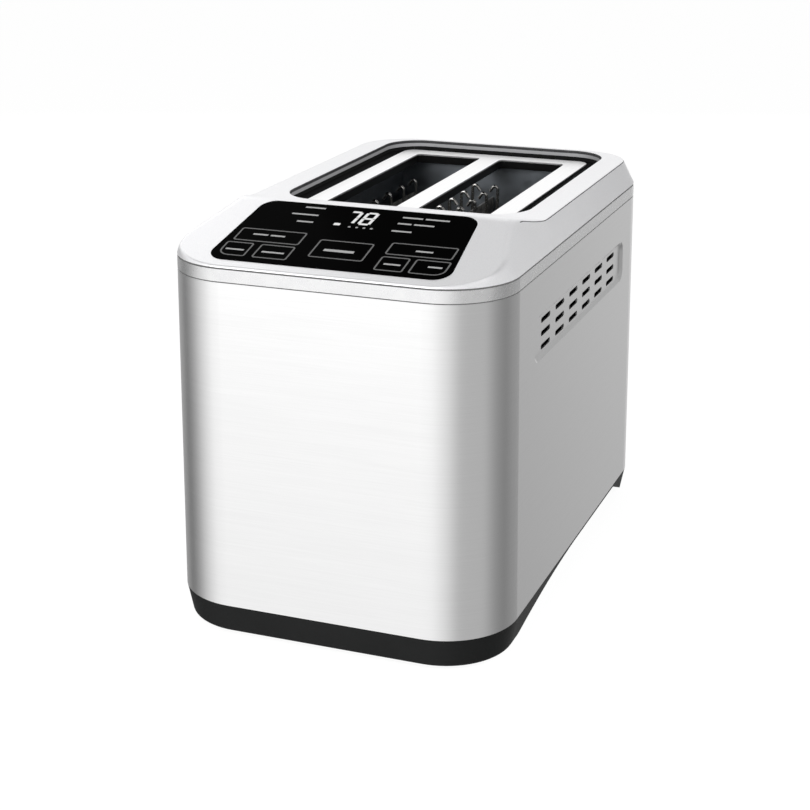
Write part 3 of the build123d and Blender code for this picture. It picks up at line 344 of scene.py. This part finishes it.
def top_height(y):
    """Height of the cover's top at a place along the toaster: deck, hump, then rim."""
    deck = deck_z + (y + cover_y) * math.tan(deck_angle)
    hump = crest_z - (y - crest_y) * (crest_z - rim_z) / hump_length
    behind = -soft_min(-hump, -rim_z, crest_round)
    return soft_min(deck, behind, crest_round)


def edge_inset(y):
    """How far the ridge beside the deck, or the rim's outer edge, lies inside the outline."""
    ridge = crest_inset * (y - ridge_end) / (crest_y - ridge_end)
    behind = rim_inset + (crest_inset - rim_inset) * max(1 - (y - crest_y) / hump_length, 0.0)
    return max(soft_min(ridge, behind, ridge_turn), corner_inset)


def cover_height(y, inset, edge):
    """Height of the cover at an inset from its outline, where the ridge or the rim's edge lies at edge."""
    top = top_height(y)
    behind = clamp((y - crest_y) / hump_length)
    rounding = min(ridge_round, top - lip_z) * (1 - behind) + rim_round * behind
    return soft_min(lip_z + inset / edge * (top - lip_z), top, rounding)


def beside_well(p, out):
    """The place nearest to p on an outline round the well, that far out from its wall."""
    core_x, core_front, core_back = well_x - well_corner, well_front + well_corner, well_back - well_corner
    core = Vector((clamp(p.x, -core_x, core_x), clamp(p.y, core_front, core_back)))
    return core + (p - core).normalized() * (well_corner + out)


def skin(name, rows):
    """A mesh whose rows of points are rings, each joined to the next."""
    count = len(rows[0])
    faces = []
    for row in range(len(rows) - 1):
        a, b = row * count, (row + 1) * count
        faces += [(a + i, a + (i + 1) % count, b + (i + 1) % count, b + i) for i in range(count)]
    mesh = bpy.data.meshes.new(name)
    mesh.from_pydata([p for row in rows for p in row], [], faces)
    return mesh


def link(name, mesh, *finishes):
    """A new object in the scene with its materials."""
    piece = bpy.data.objects.new(name, mesh)
    bpy.context.scene.collection.objects.link(piece)
    for made in finishes:
        mesh.materials.append(made)
    return piece


def bake_modifiers(piece, sharp):
    """Makes the modifiers' result the piece's own mesh, smooth but for edges over that many degrees."""
    evaluated = piece.evaluated_get(bpy.context.evaluated_depsgraph_get())
    mesh = bpy.data.meshes.new_from_object(evaluated)
    piece.modifiers.clear()
    piece.data = mesh
    mesh.shade_smooth()
    mesh.set_sharp_from_angle(angle=math.radians(sharp))


def on_deck(x, up, out=0.0):
    """A point on the deck: across, up the slope from its front edge, and out of it."""
    slope = Vector((0, math.cos(deck_angle), math.sin(deck_angle)))
    normal = Vector((0, -math.sin(deck_angle), math.cos(deck_angle)))
    return Vector((x, -cover_y, deck_z)) + slope * up + normal * out


# Rings run from the outline up the facets, over the ridge to a shoulder line, across the top to the well,
# round its edge and down its wall. They lie closest just past the ridge, where the surface turns most.
rings = []
facet_rings, ridge_rings, top_rings, edge_rings = 50, 30, 44, 5
outer = ring(cover_x, -cover_y, cover_y, cover_corner)
inner = ring(
    cover_x - shoulder_depth, -cover_y + shoulder_depth, cover_y - shoulder_depth,
    cover_corner - shoulder_depth,
)
for step in range(facet_rings + ridge_rings + 1):
    up_facet = min(step / facet_rings, 1.0)
    past_ridge = (max(step - facet_rings, 0) / ridge_rings) ** 2
    row = []
    for a, b in zip(outer, inner):
        edge = edge_inset(a.y)
        depth = shoulder_depth + (rear_shoulder_depth - shoulder_depth) * clamp(a.y / rear_start)
        inset = edge * up_facet + (depth - edge) * past_ridge
        p = a.lerp(b, inset / shoulder_depth)
        row.append((p.x, p.y, cover_height(p.y, inset, edge)))
    rings.append(row)
shoulder = [Vector(p[:2]) for p in row]
for step in range(1, top_rings + 1):
    between = [a.lerp(beside_well(a, well_edge), step / top_rings) for a in shoulder]
    rings.append([(p.x, p.y, top_height(p.y)) for p in between])
for step in range(1, edge_rings + 1):
    angle = math.radians(90 * step / edge_rings)
    out = well_edge * (1 - math.sin(angle))
    drop = well_edge * (1 - math.cos(angle))
    lower = [beside_well(a, out) for a in shoulder]
    rings.append([(p.x, p.y, top_height(p.y) - drop) for p in lower])
rings.append([(p.x, p.y, top_height(p.y) - well_edge - wall_shade_band) for p in lower])
rings.append([(p.x, p.y, well_floor) for p in lower])

# The lacquer's aluminium flakes give a soft, even sheen under a thin clear coat. Real flakes are a few
# hundredths of a millimetre, so they are drawn coarser here.
silver_lacquer, tree, place = start_material("silver_lacquer_on_abs")
flake_size = 0.4 * MM
flakes = add(tree, "TexVoronoi", Vector=place, Scale=1 / flake_size)
tone = add(
    tree, "ValToRGB", Fac=flakes.outputs["Distance"], stops=[(0.0, srgb("F6F6F7")), (0.8, srgb("ECECEE"))]
)
gloss = add(tree, "MapRange", Value=flakes.outputs["Distance"], To_Min=0.3, To_Max=0.4)
shader = add(
    tree, "BsdfPrincipled", Base_Color=tone.outputs["Color"], Metallic=0.55, IOR=1.5,
    Roughness=gloss.outputs["Result"], Coat_Weight=0.15, Coat_Roughness=0.2,
)
add(tree, "OutputMaterial", Surface=shader.outputs["BSDF"])

# Bare ABS is a plain mid grey with a low gloss.
bare_abs, tree, place = start_material("bare_grey_abs")
abs_cloud = 15 * MM
cloud = add(tree, "TexNoise", Vector=place, Scale=1 / abs_cloud, Detail=2.0)
tone = add(tree, "ValToRGB", Fac=cloud.outputs["Fac"], stops=[(0.3, srgb("A4A4A6")), (0.7, srgb("ACACAE"))])
shader = add(
    tree, "BsdfPrincipled", Base_Color=tone.outputs["Color"], Roughness=0.45, IOR=1.5, Specular_IOR_Level=0.3
)
add(tree, "OutputMaterial", Surface=shader.outputs["BSDF"])

# The lines along the rim are painted shade: dark and almost matt, where the rim's edges lie in shade.
painted_shade_line, tree, place = start_material("painted_shade_rim_line")
line_cloud = 5 * MM
cloud = add(tree, "TexNoise", Vector=place, Scale=1 / line_cloud, Detail=2.0)
tone = add(tree, "ValToRGB", Fac=cloud.outputs["Fac"], stops=[(0.3, srgb("363637")), (0.7, srgb("424243"))])
shader = add(
    tree, "BsdfPrincipled", Base_Color=tone.outputs["Color"], Roughness=0.6, IOR=1.5, Specular_IOR_Level=0.2
)
add(tree, "OutputMaterial", Surface=shader.outputs["BSDF"])

mesh = skin("top_cover_moulding", rings)
soft_cover = link("top_cover_moulding", mesh, silver_lacquer, painted_shade_line, bare_abs)
lacquered, lined, bare = range(3)
around = len(rings[0])
line_rings, line_start = 2, 2
# Painted shade: the dark line lies along the rim's outer edge behind the crest and round the well's edge.
for face in mesh.polygons:
    row = face.index // around
    past_top = row - facet_rings - ridge_rings - top_rings
    face.material_index = lacquered
    if facet_rings - line_rings <= row < facet_rings and face.center.y > crest_y:
        face.material_index = lined
    elif line_start <= past_top <= edge_rings:
        face.material_index = lined
    elif past_top > edge_rings:
        face.material_index = bare
thicken = soft_cover.modifiers.new("shell", "SOLIDIFY")
thicken.thickness = shell
thicken.offset = -1

# The glass lies in a seat cut to its own shape, and the deck is open under it, for display and pads.
window_low, window_high, window_half_low, window_half_high = 10 * MM, 64.5 * MM, 56 * MM, 51 * MM
window_top, window_bottom = 5 * MM, -8 * MM
corners = (
    (-window_half_low, window_low), (window_half_low, window_low),
    (window_half_high, window_high), (-window_half_high, window_high),
)
mesh = bpy.data.meshes.new("panel_window")
points = [on_deck(x, up, out) for out in (window_bottom, window_top) for x, up in corners]
sides = [(i, (i + 1) % 4, 4 + (i + 1) % 4, 4 + i) for i in range(4)]
mesh.from_pydata(points, [], [(3, 2, 1, 0), (4, 5, 6, 7)] + sides)
window = link("panel_window", mesh)
for tool in (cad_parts["control_glass"], window):
    cut = soft_cover.modifiers.new("cut", "BOOLEAN")
    cut.object = tool
    cut.operation = "DIFFERENCE"
bake_modifiers(soft_cover, sharp=40)
bpy.data.objects.remove(window)

# Faces that lie in the deck's plane are shaded flat, so that the long ones round the cut show no streaks.
deck_normal = on_deck(0, 0, 1) - on_deck(0, 0)
in_plane = 0.99999
for face in soft_cover.data.polygons:
    face.use_smooth = face.normal.dot(deck_normal) < in_plane
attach(soft_cover, "housing")
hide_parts("top_cover")


# Shade strips: grey ones in the two grooves of the trim band, and a black one round the foot of the
# well. They are painted shade, foam-like strips that stand for the shade in the grooves and at the foot
# of the well's wall. In the grooves they lie a little back from the surface and show as thin lines.
def shade_strip_material(name, dark, pale):
    """Painted shade for a strip, in fine foam-like cells that take nearly all gloss from it."""
    made, tree, place = start_material(name)
    cell_size = 0.5 * MM
    cells = add(tree, "TexVoronoi", Vector=place, Scale=1 / cell_size)
    tone = add(tree, "ValToRGB", Fac=cells.outputs["Distance"], stops=[(0.0, srgb(dark)), (0.6, srgb(pale))])
    shader = add(
        tree, "BsdfPrincipled", Base_Color=tone.outputs["Color"], Roughness=0.9, Specular_IOR_Level=0.1
    )
    add(tree, "OutputMaterial", Surface=shader.outputs["BSDF"])
    return made


# Grey strips stand for the shade in the band's grooves, black for the deeper shade at the foot of the well.
grey_shade_strip = shade_strip_material("grey_painted_shade_strip", "5E5E5E", "6A6A6A")
black_shade_strip = shade_strip_material("black_painted_shade_strip", "121212", "1E1E1E")
wrap_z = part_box("steel_wrap")[1].z
band_x, band_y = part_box("trim_band")[1].xy
band_corner = cover_corner + band_x - cover_x
cover_groove, wrap_groove, strip_back = 0.8 * MM, 0.5 * MM, 0.25 * MM
foot_high, foot_thick = 1.8 * MM, 0.6 * MM
weld_reach = 0.01 * MM
cover_outline = (cover_x, -cover_y, cover_y, cover_corner)
band_outline = (band_x, -band_y, band_y, band_corner)
well_outline = (well_x, well_front, well_back, well_corner)
shade_strips = (
    ("cover_groove_shade", grey_shade_strip, cover_outline, strip_back, cover_groove, lip_z - cover_groove, lip_z),
    ("wrap_groove_shade", grey_shade_strip, band_outline, strip_back, wrap_groove, wrap_z, wrap_z + wrap_groove),
    ("well_foot_shade", black_shade_strip, well_outline, 0, foot_thick, well_floor, well_floor + foot_high),
)
for name, strip_finish, (half_x, front, back, radius), near, far, bottom, top in shade_strips:
    rows = []
    for inset, z in ((near, bottom), (near, top), (far, top), (far, bottom)):
        strip = ring(half_x - inset, front + inset, back - inset, radius - inset)
        rows.append([(p.x, p.y, z) for p in strip])
    shade_strip = link(name, skin(name, rows + rows[:1]), strip_finish)
    shade_strip.modifiers.new("closed", "WELD").merge_threshold = weld_reach
    bake_modifiers(shade_strip, sharp=30)
    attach(shade_strip, "housing")

# Touch panel: black glass, screen-printed black behind and bonded into the deck. It has an anti-glare
# coat, which lets almost nothing mirror in it, so its index is set well below plain glass.
black_glass, tree, place = start_material("black_backed_glass")
smear_size = 25 * MM
smear = add(tree, "TexNoise", Vector=place, Scale=1 / smear_size, Detail=3.0)
gloss = add(tree, "MapRange", Value=smear.outputs["Fac"], To_Min=0.1, To_Max=0.18)
shader = add(
    tree, "BsdfPrincipled", Base_Color=srgb("030303"), Roughness=gloss.outputs["Result"], IOR=1.12,
    Specular_IOR_Level=0.02,
)
add(tree, "OutputMaterial", Surface=shader.outputs["BSDF"])
dress(black_glass, "control_glass")

# Panel print: ceramic ink, screen-printed on the glass and fired. Grey lines are the key fields, pale bars
# and dots are their labels, and two plain seven-segment figures and a mark beside them are white. Places
# on the panel are in millimetres, across from its middle and up the deck.
glass_top = 0.3 * MM
ink_depth = 0.05 * MM
ink_line, bar_height = 0.8, 1.3


def ink_material(name, colour):
    """Ceramic ink, fired matt, with slightly uneven cover."""
    made, tree, place = start_material(name)
    screen_mark = 0.6 * MM
    cover = add(tree, "TexNoise", Vector=place, Scale=1 / screen_mark, Detail=2.0)
    gloss = add(tree, "MapRange", Value=cover.outputs["Fac"], To_Min=0.5, To_Max=0.7)
    shader = add(tree, "BsdfPrincipled", Base_Color=srgb(colour), Roughness=gloss.outputs["Result"], IOR=1.5)
    add(tree, "OutputMaterial", Surface=shader.outputs["BSDF"])
    return made


def print_ink(name, strips, made):
    """Ink on the glass. A strip is two rows of places, joined by faces."""
    builder = bmesh.new()
    for rows in strips:
        low, high = [
            [builder.verts.new(on_deck(x * MM, up * MM, glass_top)) for x, up in row] for row in rows
        ]
        for i in range(len(low) - 1):
            builder.faces.new((low[i], low[i + 1], high[i + 1], high[i]))
    bmesh.ops.remove_doubles(builder, verts=builder.verts, dist=weld_reach)
    mesh = bpy.data.meshes.new(name)
    builder.to_mesh(mesh)
    builder.free()
    ink = link(name, mesh, made)
    layer = ink.modifiers.new("layer", "SOLIDIFY")
    layer.thickness = ink_depth
    layer.offset = 1
    bake_modifiers(ink, sharp=30)
    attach(ink, "housing")


def key_outline(left, right, low, high, radii, inset=0.0):
    """A closed outline with a round at each corner, from the low right one, drawn in by inset."""
    arc_steps = 6
    points = []
    corners = ((right, low, 1, -1), (right, high, 1, 1), (left, high, -1, 1), (left, low, -1, -1))
    for turn, ((x, up, side, end), radius) in enumerate(zip(corners, radii)):
        for step in range(arc_steps + 1):
            angle = math.radians(90 * (turn - 1 + step / arc_steps))
            across = (radius - inset) * math.cos(angle) - side * radius
            along = (radius - inset) * math.sin(angle) - end * radius
            points.append((x + across, up + along))
    return points + points[:1]


def bar(left, right, up, height=bar_height):
    """A bar of ink, as two rows of two places."""
    low, high = up - height / 2, up + height / 2
    return ((left, low), (right, low)), ((left, high), (right, high))


white_ink = ink_material("white_ceramic_ink", "E6E6E6")
pale_ink = ink_material("pale_grey_ceramic_ink", "A6A6A6")
grey_ink = ink_material("grey_ceramic_ink", "5E5E5E")
small, large = 1.5, 5.5
# A key has its left, right, low and high edges, and its corner rounds from the low right one on.
keys = (
    (-54.5, -20.5, 25.5, 38, (small, small, small, small)),
    (-56, -41.8, 10.5, 23.6, (small, small, small, large)),
    (-38.2, -20.5, 10.5, 23.6, (small, small, small, small)),
    (-12, 15.5, 16, 33.3, (small, small, small, small)),
    (23, 56, 25, 36.5, (small, small, small, small)),
    (23, 37.2, 9.8, 23, (small, small, small, small)),
    (39.8, 57, 9.8, 23, (large, small, small, small)),
)
print_ink("key_field_lines", [(key_outline(*key), key_outline(*key, ink_line)) for key in keys], grey_ink)
# A label has its left and right ends, its place up the deck and, where it is thicker, its height.
labels = (
    (-32.6, -22.1, 63.7), (-36.7, -22.9, 56.2), (-31.2, -22.7, 49), (18.8, 29, 61.5), (30.4, 42.5, 61.5),
    (18.5, 25.4, 55.2), (26.8, 36.9, 55.2), (18.2, 28.2, 47.6), (-46.7, -39, 32.5), (-37.6, -30.2, 32.5),
    (-53.7, -44.4, 16.4), (-35.2, -23.9, 16.5), (36.7, 45.1, 30.3), (26.2, 34.4, 16), (47.3, 54.2, 17),
)
middle_key_label = (-6.6, 8.6, 23.6, 2.1)
dot, dots_up, dots_across = 1.2, 47.7, (-3.4, 0.4, 4.1, 7.8)
label_strips = [bar(*label) for label in labels + (middle_key_label,)]
label_strips += [bar(x - dot / 2, x + dot / 2, dots_up, dot) for x in dots_across]
print_ink("panel_labels", label_strips, pale_ink)
digit_low, digit_height, digit_width = 51.4, 13, 6.6
digit_stroke, digit_slant, digit_gap = 1.6, 0.08, 0.25
# A segment runs between two places, given as shares of the figure's width and height.
segments = {
    "a": (0, 1, 1, 1), "b": (1, 0.5, 1, 1), "c": (1, 0, 1, 0.5), "d": (0, 0, 1, 0), "e": (0, 0, 0, 0.5),
    "f": (0, 0.5, 0, 1), "g": (0, 0.5, 1, 0.5),
}
figures = ((-8.4, "abc"), (-0.1, "abcdefg"))
mark_beside = (-12, -8.8, 49.3, 2.2)
digit_strips = [bar(*mark_beside)]
wide, tall = digit_width - digit_stroke, digit_height - digit_stroke
for left, lit in figures:
    for x0, up0, x1, up1 in [segments[letter] for letter in lit]:
        level = up0 == up1
        half_x = -digit_gap if level else digit_stroke / 2
        half_up = digit_stroke / 2 if level else -digit_gap
        box_x = (left + x0 * wide - half_x, left + x1 * wide + half_x)
        box_up = (digit_low + up0 * tall - half_up, digit_low + up1 * tall + half_up)
        digit_strips.append([[(x + digit_slant * (up - digit_low), up) for x in box_x] for up in box_up])
print_ink("display_digits", digit_strips, white_ink)

# Slot frame: a pressed steel frame, screwed up under the well, with its rim as the floor of the groove
# round the plate. Its black enamel is almost matt, with a faint orange peel.
black_enamel, tree, place = start_material("black_enamel_on_steel")
peel_size = 1.2 * MM
peel = add(tree, "TexNoise", Vector=place, Scale=1 / peel_size, Detail=2.0)
relief = add(tree, "Bump", Height=peel.outputs["Fac"], Strength=0.15, Distance=0.05 * MM)
shader = add(
    tree, "BsdfPrincipled", Base_Color=srgb("060606"), Roughness=0.85, IOR=1.5, Specular_IOR_Level=0.1,
    Normal=relief.outputs["Normal"],
)
add(tree, "OutputMaterial", Surface=shader.outputs["BSDF"])
dress(black_enamel, "slot_frame")

# Slot plate: a pressed stainless plate with a turned-down edge and a collar in each bread slot. Its face
# is satin ground from front to back, in lines drawn coarser than the real ones, to show at all. Below the
# face the collars are painted black, as painted shade for the dark down in the slots.
satin_stainless, tree, place = start_material("satin_stainless_with_painted_shade_collars")
satin_width, satin_length = 0.5 * MM, 30 * MM
face_depth, collar_shade_fade = 0.6 * MM, 0.2 * MM
along = add(tree, "Mapping", Vector=place, Scale=(1 / satin_width, 1 / satin_length, 1 / satin_width))
lines = add(tree, "TexNoise", Vector=along.outputs["Vector"], Scale=1.0, Detail=3.0)
tone = add(tree, "ValToRGB", Fac=lines.outputs["Fac"], stops=[(0.3, srgb("F0F0F0")), (0.7, srgb("F7F7F7"))])
gloss = add(tree, "MapRange", Value=lines.outputs["Fac"], To_Min=0.26, To_Max=0.36)
# Painted shade: the collars below the face fade to black, for the dark down in the slots.
height = add(tree, "SeparateXYZ", Vector=place)
collar_shade_top = plate_high.z - face_depth
bright = add(
    tree, "MapRange", Value=height.outputs["Z"], From_Min=collar_shade_top - collar_shade_fade, From_Max=collar_shade_top
)
finish = add(
    tree, "Mix", data_type="RGBA", _0=bright.outputs["Result"], _6=srgb("0C0C0C"), _7=tone.outputs["Color"]
)
shader = add(
    tree, "BsdfPrincipled", Base_Color=finish.outputs[2], Metallic=bright.outputs["Result"],
    Roughness=gloss.outputs["Result"], Specular_IOR_Level=0.2,
)
add(tree, "OutputMaterial", Surface=shader.outputs["BSDF"])
dress(satin_stainless, "slot_plate")

# Table: a white painted top that runs out of sight. It lights the toaster from below as white paint does,
# and shows as a plain white field with a faint shadow.
floor_half, white_seen = 3.0, 0.94
mesh = bpy.data.meshes.new("white_table")
corners = [(x * floor_half, y * floor_half, 0) for x, y in ((-1, -1), (1, -1), (1, 1), (-1, 1))]
mesh.from_pydata(corners, [], [(0, 1, 2, 3)])
table_white, tree, place = start_material("white_table_top")
path = add(tree, "LightPath")
shade = add(
    tree, "Mix", data_type="RGBA", _0=path.outputs["Is Camera Ray"], _6=srgb("E8E8E8"), _7=srgb("616161")
)
lit = add(tree, "BsdfDiffuse", Color=shade.outputs[2])
seen = add(tree, "Math", operation="MULTIPLY", _0=path.outputs["Is Camera Ray"], _1=white_seen)
plain = add(tree, "Emission", Color=srgb("FFFFFF"), Strength=seen.outputs["Value"])
both = add(tree, "AddShader", _0=lit.outputs["BSDF"], _1=plain.outputs["Emission"])
add(tree, "OutputMaterial", Surface=both.outputs["Shader"])
table = link("white_table", mesh, table_white)
table.visible_glossy = False


# Studio: pale and grey cards round the table, which the steel and the lacquer mirror, under a white
# ceiling that stops short of straight above. A flag takes light from the ceiling on the right and behind.
def grey(level):
    """A light level as red, green, blue and alpha."""
    return (level, level, level, 1)


def stops_round(levels):
    """Ramp stops for levels round the room, at degrees to the right of straight in front."""
    return [((degrees + 180) / 360, grey(level)) for degrees, level in levels]


cards = (
    (-180, 0.65), (-121, 0.3), (-101, 0.14), (-81, 0.33), (-61, 0.7), (-41, 0.96), (-21, 0.97), (0, 0.97),
    (19, 0.78), (39, 0.49), (79, 0.5), (99, 0.3), (119, 0.21), (139, 0.3), (156, 0.3), (163, 0.43),
    (169, 0.7), (180, 0.7),
)
ceiling_levels = ((0.0, 0.92), (0.45, 0.92), (0.62, 0.24))
flag_levels = ((-180, 1.0), (25.2, 1.0), (50.4, 0.42), (167.4, 0.42), (176.4, 1.0))
room_light = 0.4
# Heights here are sines of the angle above the horizon: where the floor darkens, and where cards end.
fall_low, fall_high, fall_level = -0.45, -0.22, 0.86
cards_low, cards_high = -0.12, 0.1
world = bpy.data.worlds.new("white_studio")
bpy.context.scene.world = world
world.use_nodes = True
tree = world.node_tree
tree.nodes.clear()
axes = add(tree, "SeparateXYZ", Vector=add(tree, "TexCoord").outputs["Generated"])
forward = add(tree, "Math", operation="MULTIPLY", _0=axes.outputs["Y"], _1=-1.0)
turn = add(tree, "Math", operation="ARCTAN2", _0=axes.outputs["X"], _1=forward.outputs["Value"])
share = add(tree, "MapRange", Value=turn.outputs["Value"], From_Min=-math.pi, From_Max=math.pi)
low = add(tree, "ValToRGB", Fac=share.outputs["Result"], stops=stops_round(cards))
fall = add(
    tree, "MapRange", Value=axes.outputs["Z"], From_Min=fall_low, From_Max=fall_high, To_Min=fall_level,
    To_Max=1.0,
)
ground = add(tree, "VectorMath", operation="SCALE", _0=low.outputs["Color"], Scale=fall.outputs["Result"])
ceiling = add(
    tree, "ValToRGB", Fac=axes.outputs["Z"], stops=[(up, grey(level)) for up, level in ceiling_levels]
)
flag = add(tree, "ValToRGB", Fac=share.outputs["Result"], stops=stops_round(flag_levels))
high = add(tree, "VectorMath", operation="MULTIPLY", _0=ceiling.outputs["Color"], _1=flag.outputs["Color"])
rise = add(
    tree, "MapRange", Value=axes.outputs["Z"], From_Min=cards_low, From_Max=cards_high,
    interpolation_type="SMOOTHSTEP",
)
dome = add(
    tree, "Mix", data_type="RGBA", _0=rise.outputs["Result"], _6=ground.outputs["Vector"],
    _7=high.outputs["Vector"],
)
# Surfaces mirror the cards, the backdrop itself is white, and soft light from all round fills the shadows.
path = add(tree, "LightPath")
mirrored = add(
    tree, "Mix", data_type="RGBA", _0=path.outputs["Is Glossy Ray"], _6=srgb("FFFFFF"), _7=dome.outputs[2]
)
clear = add(
    tree, "Math", operation="MAXIMUM", _0=path.outputs["Is Camera Ray"], _1=path.outputs["Is Glossy Ray"]
)
shown = add(
    tree, "Math", operation="MAXIMUM", _0=clear.outputs["Value"], _1=path.outputs["Is Transmission Ray"]
)
ambient = add(tree, "Background", Color=srgb("FFFFFF"), Strength=room_light)
visible = add(tree, "Background", Color=mirrored.outputs[2], Strength=1.0)
mixed = add(
    tree, "MixShader", Fac=shown.outputs["Value"], _1=ambient.outputs["Background"],
    _2=visible.outputs["Background"],
)
add(tree, "OutputWorld", Surface=mixed.outputs["Shader"])


# Lamps: square soft boxes. The large one in front lights panel and steel, the left and rear ones pick out
# the rim and the plate, and the fill on the right lifts the side without a highlight of its own.
def soft_box(name, place, aim, size, power):
    """A square soft box that points at a place."""
    lamp = bpy.data.lights.new(name, "AREA")
    lamp.size = size
    lamp.energy = power
    holder = bpy.data.objects.new(name, lamp)
    holder.location = place
    holder.visible_camera = False
    holder.rotation_euler = (Vector(aim) - Vector(place)).to_track_quat("-Z", "Y").to_euler()
    bpy.context.scene.collection.objects.link(holder)
    return holder


soft_box("front_soft_box", (-0.45, -1.15, 0.85), (0, 0, 0.12), size=0.9, power=10.0)
soft_box("left_soft_box", (-0.42, 0.25, 0.57), (-0.06, -0.1, 0.2), size=0.36, power=0.34)
soft_box("rear_soft_box", (-0.4, 1.15, 0.62), (0, 0.05, 0.2), size=1.2, power=1.3)
fill = soft_box("right_fill", (0.5, -0.25, 0.4), (0.06, -0.02, 0.19), size=0.25, power=1.95)
fill.visible_glossy = False

# Camera: the photograph's viewpoint, solved from the body's straight edges and corner arcs. It stands in
# front, turned to the right by camera_turn, and looks down by camera_rise. Angles are in degrees.
camera_place = (0.30627, -0.83121, 0.39175)
camera_turn, camera_rise, camera_roll = 20.895, 19.256, -0.022
lens = bpy.data.cameras.new("camera")
lens.lens = 76.51
lens.sensor_width = 36.0
camera = bpy.data.objects.new("camera", lens)
level_turn = Matrix.Rotation(math.radians(camera_turn), 4, "Z")
tilt = Matrix.Rotation(math.radians(90 - camera_rise), 4, "X")
roll = Matrix.Rotation(math.radians(camera_roll), 4, "Z")
camera.matrix_world = Matrix.Translation(camera_place) @ level_turn @ tilt @ roll
bpy.context.scene.collection.objects.link(camera)
bpy.context.scene.camera = camera
bpy.context.scene.view_settings.view_transform = "Standard"
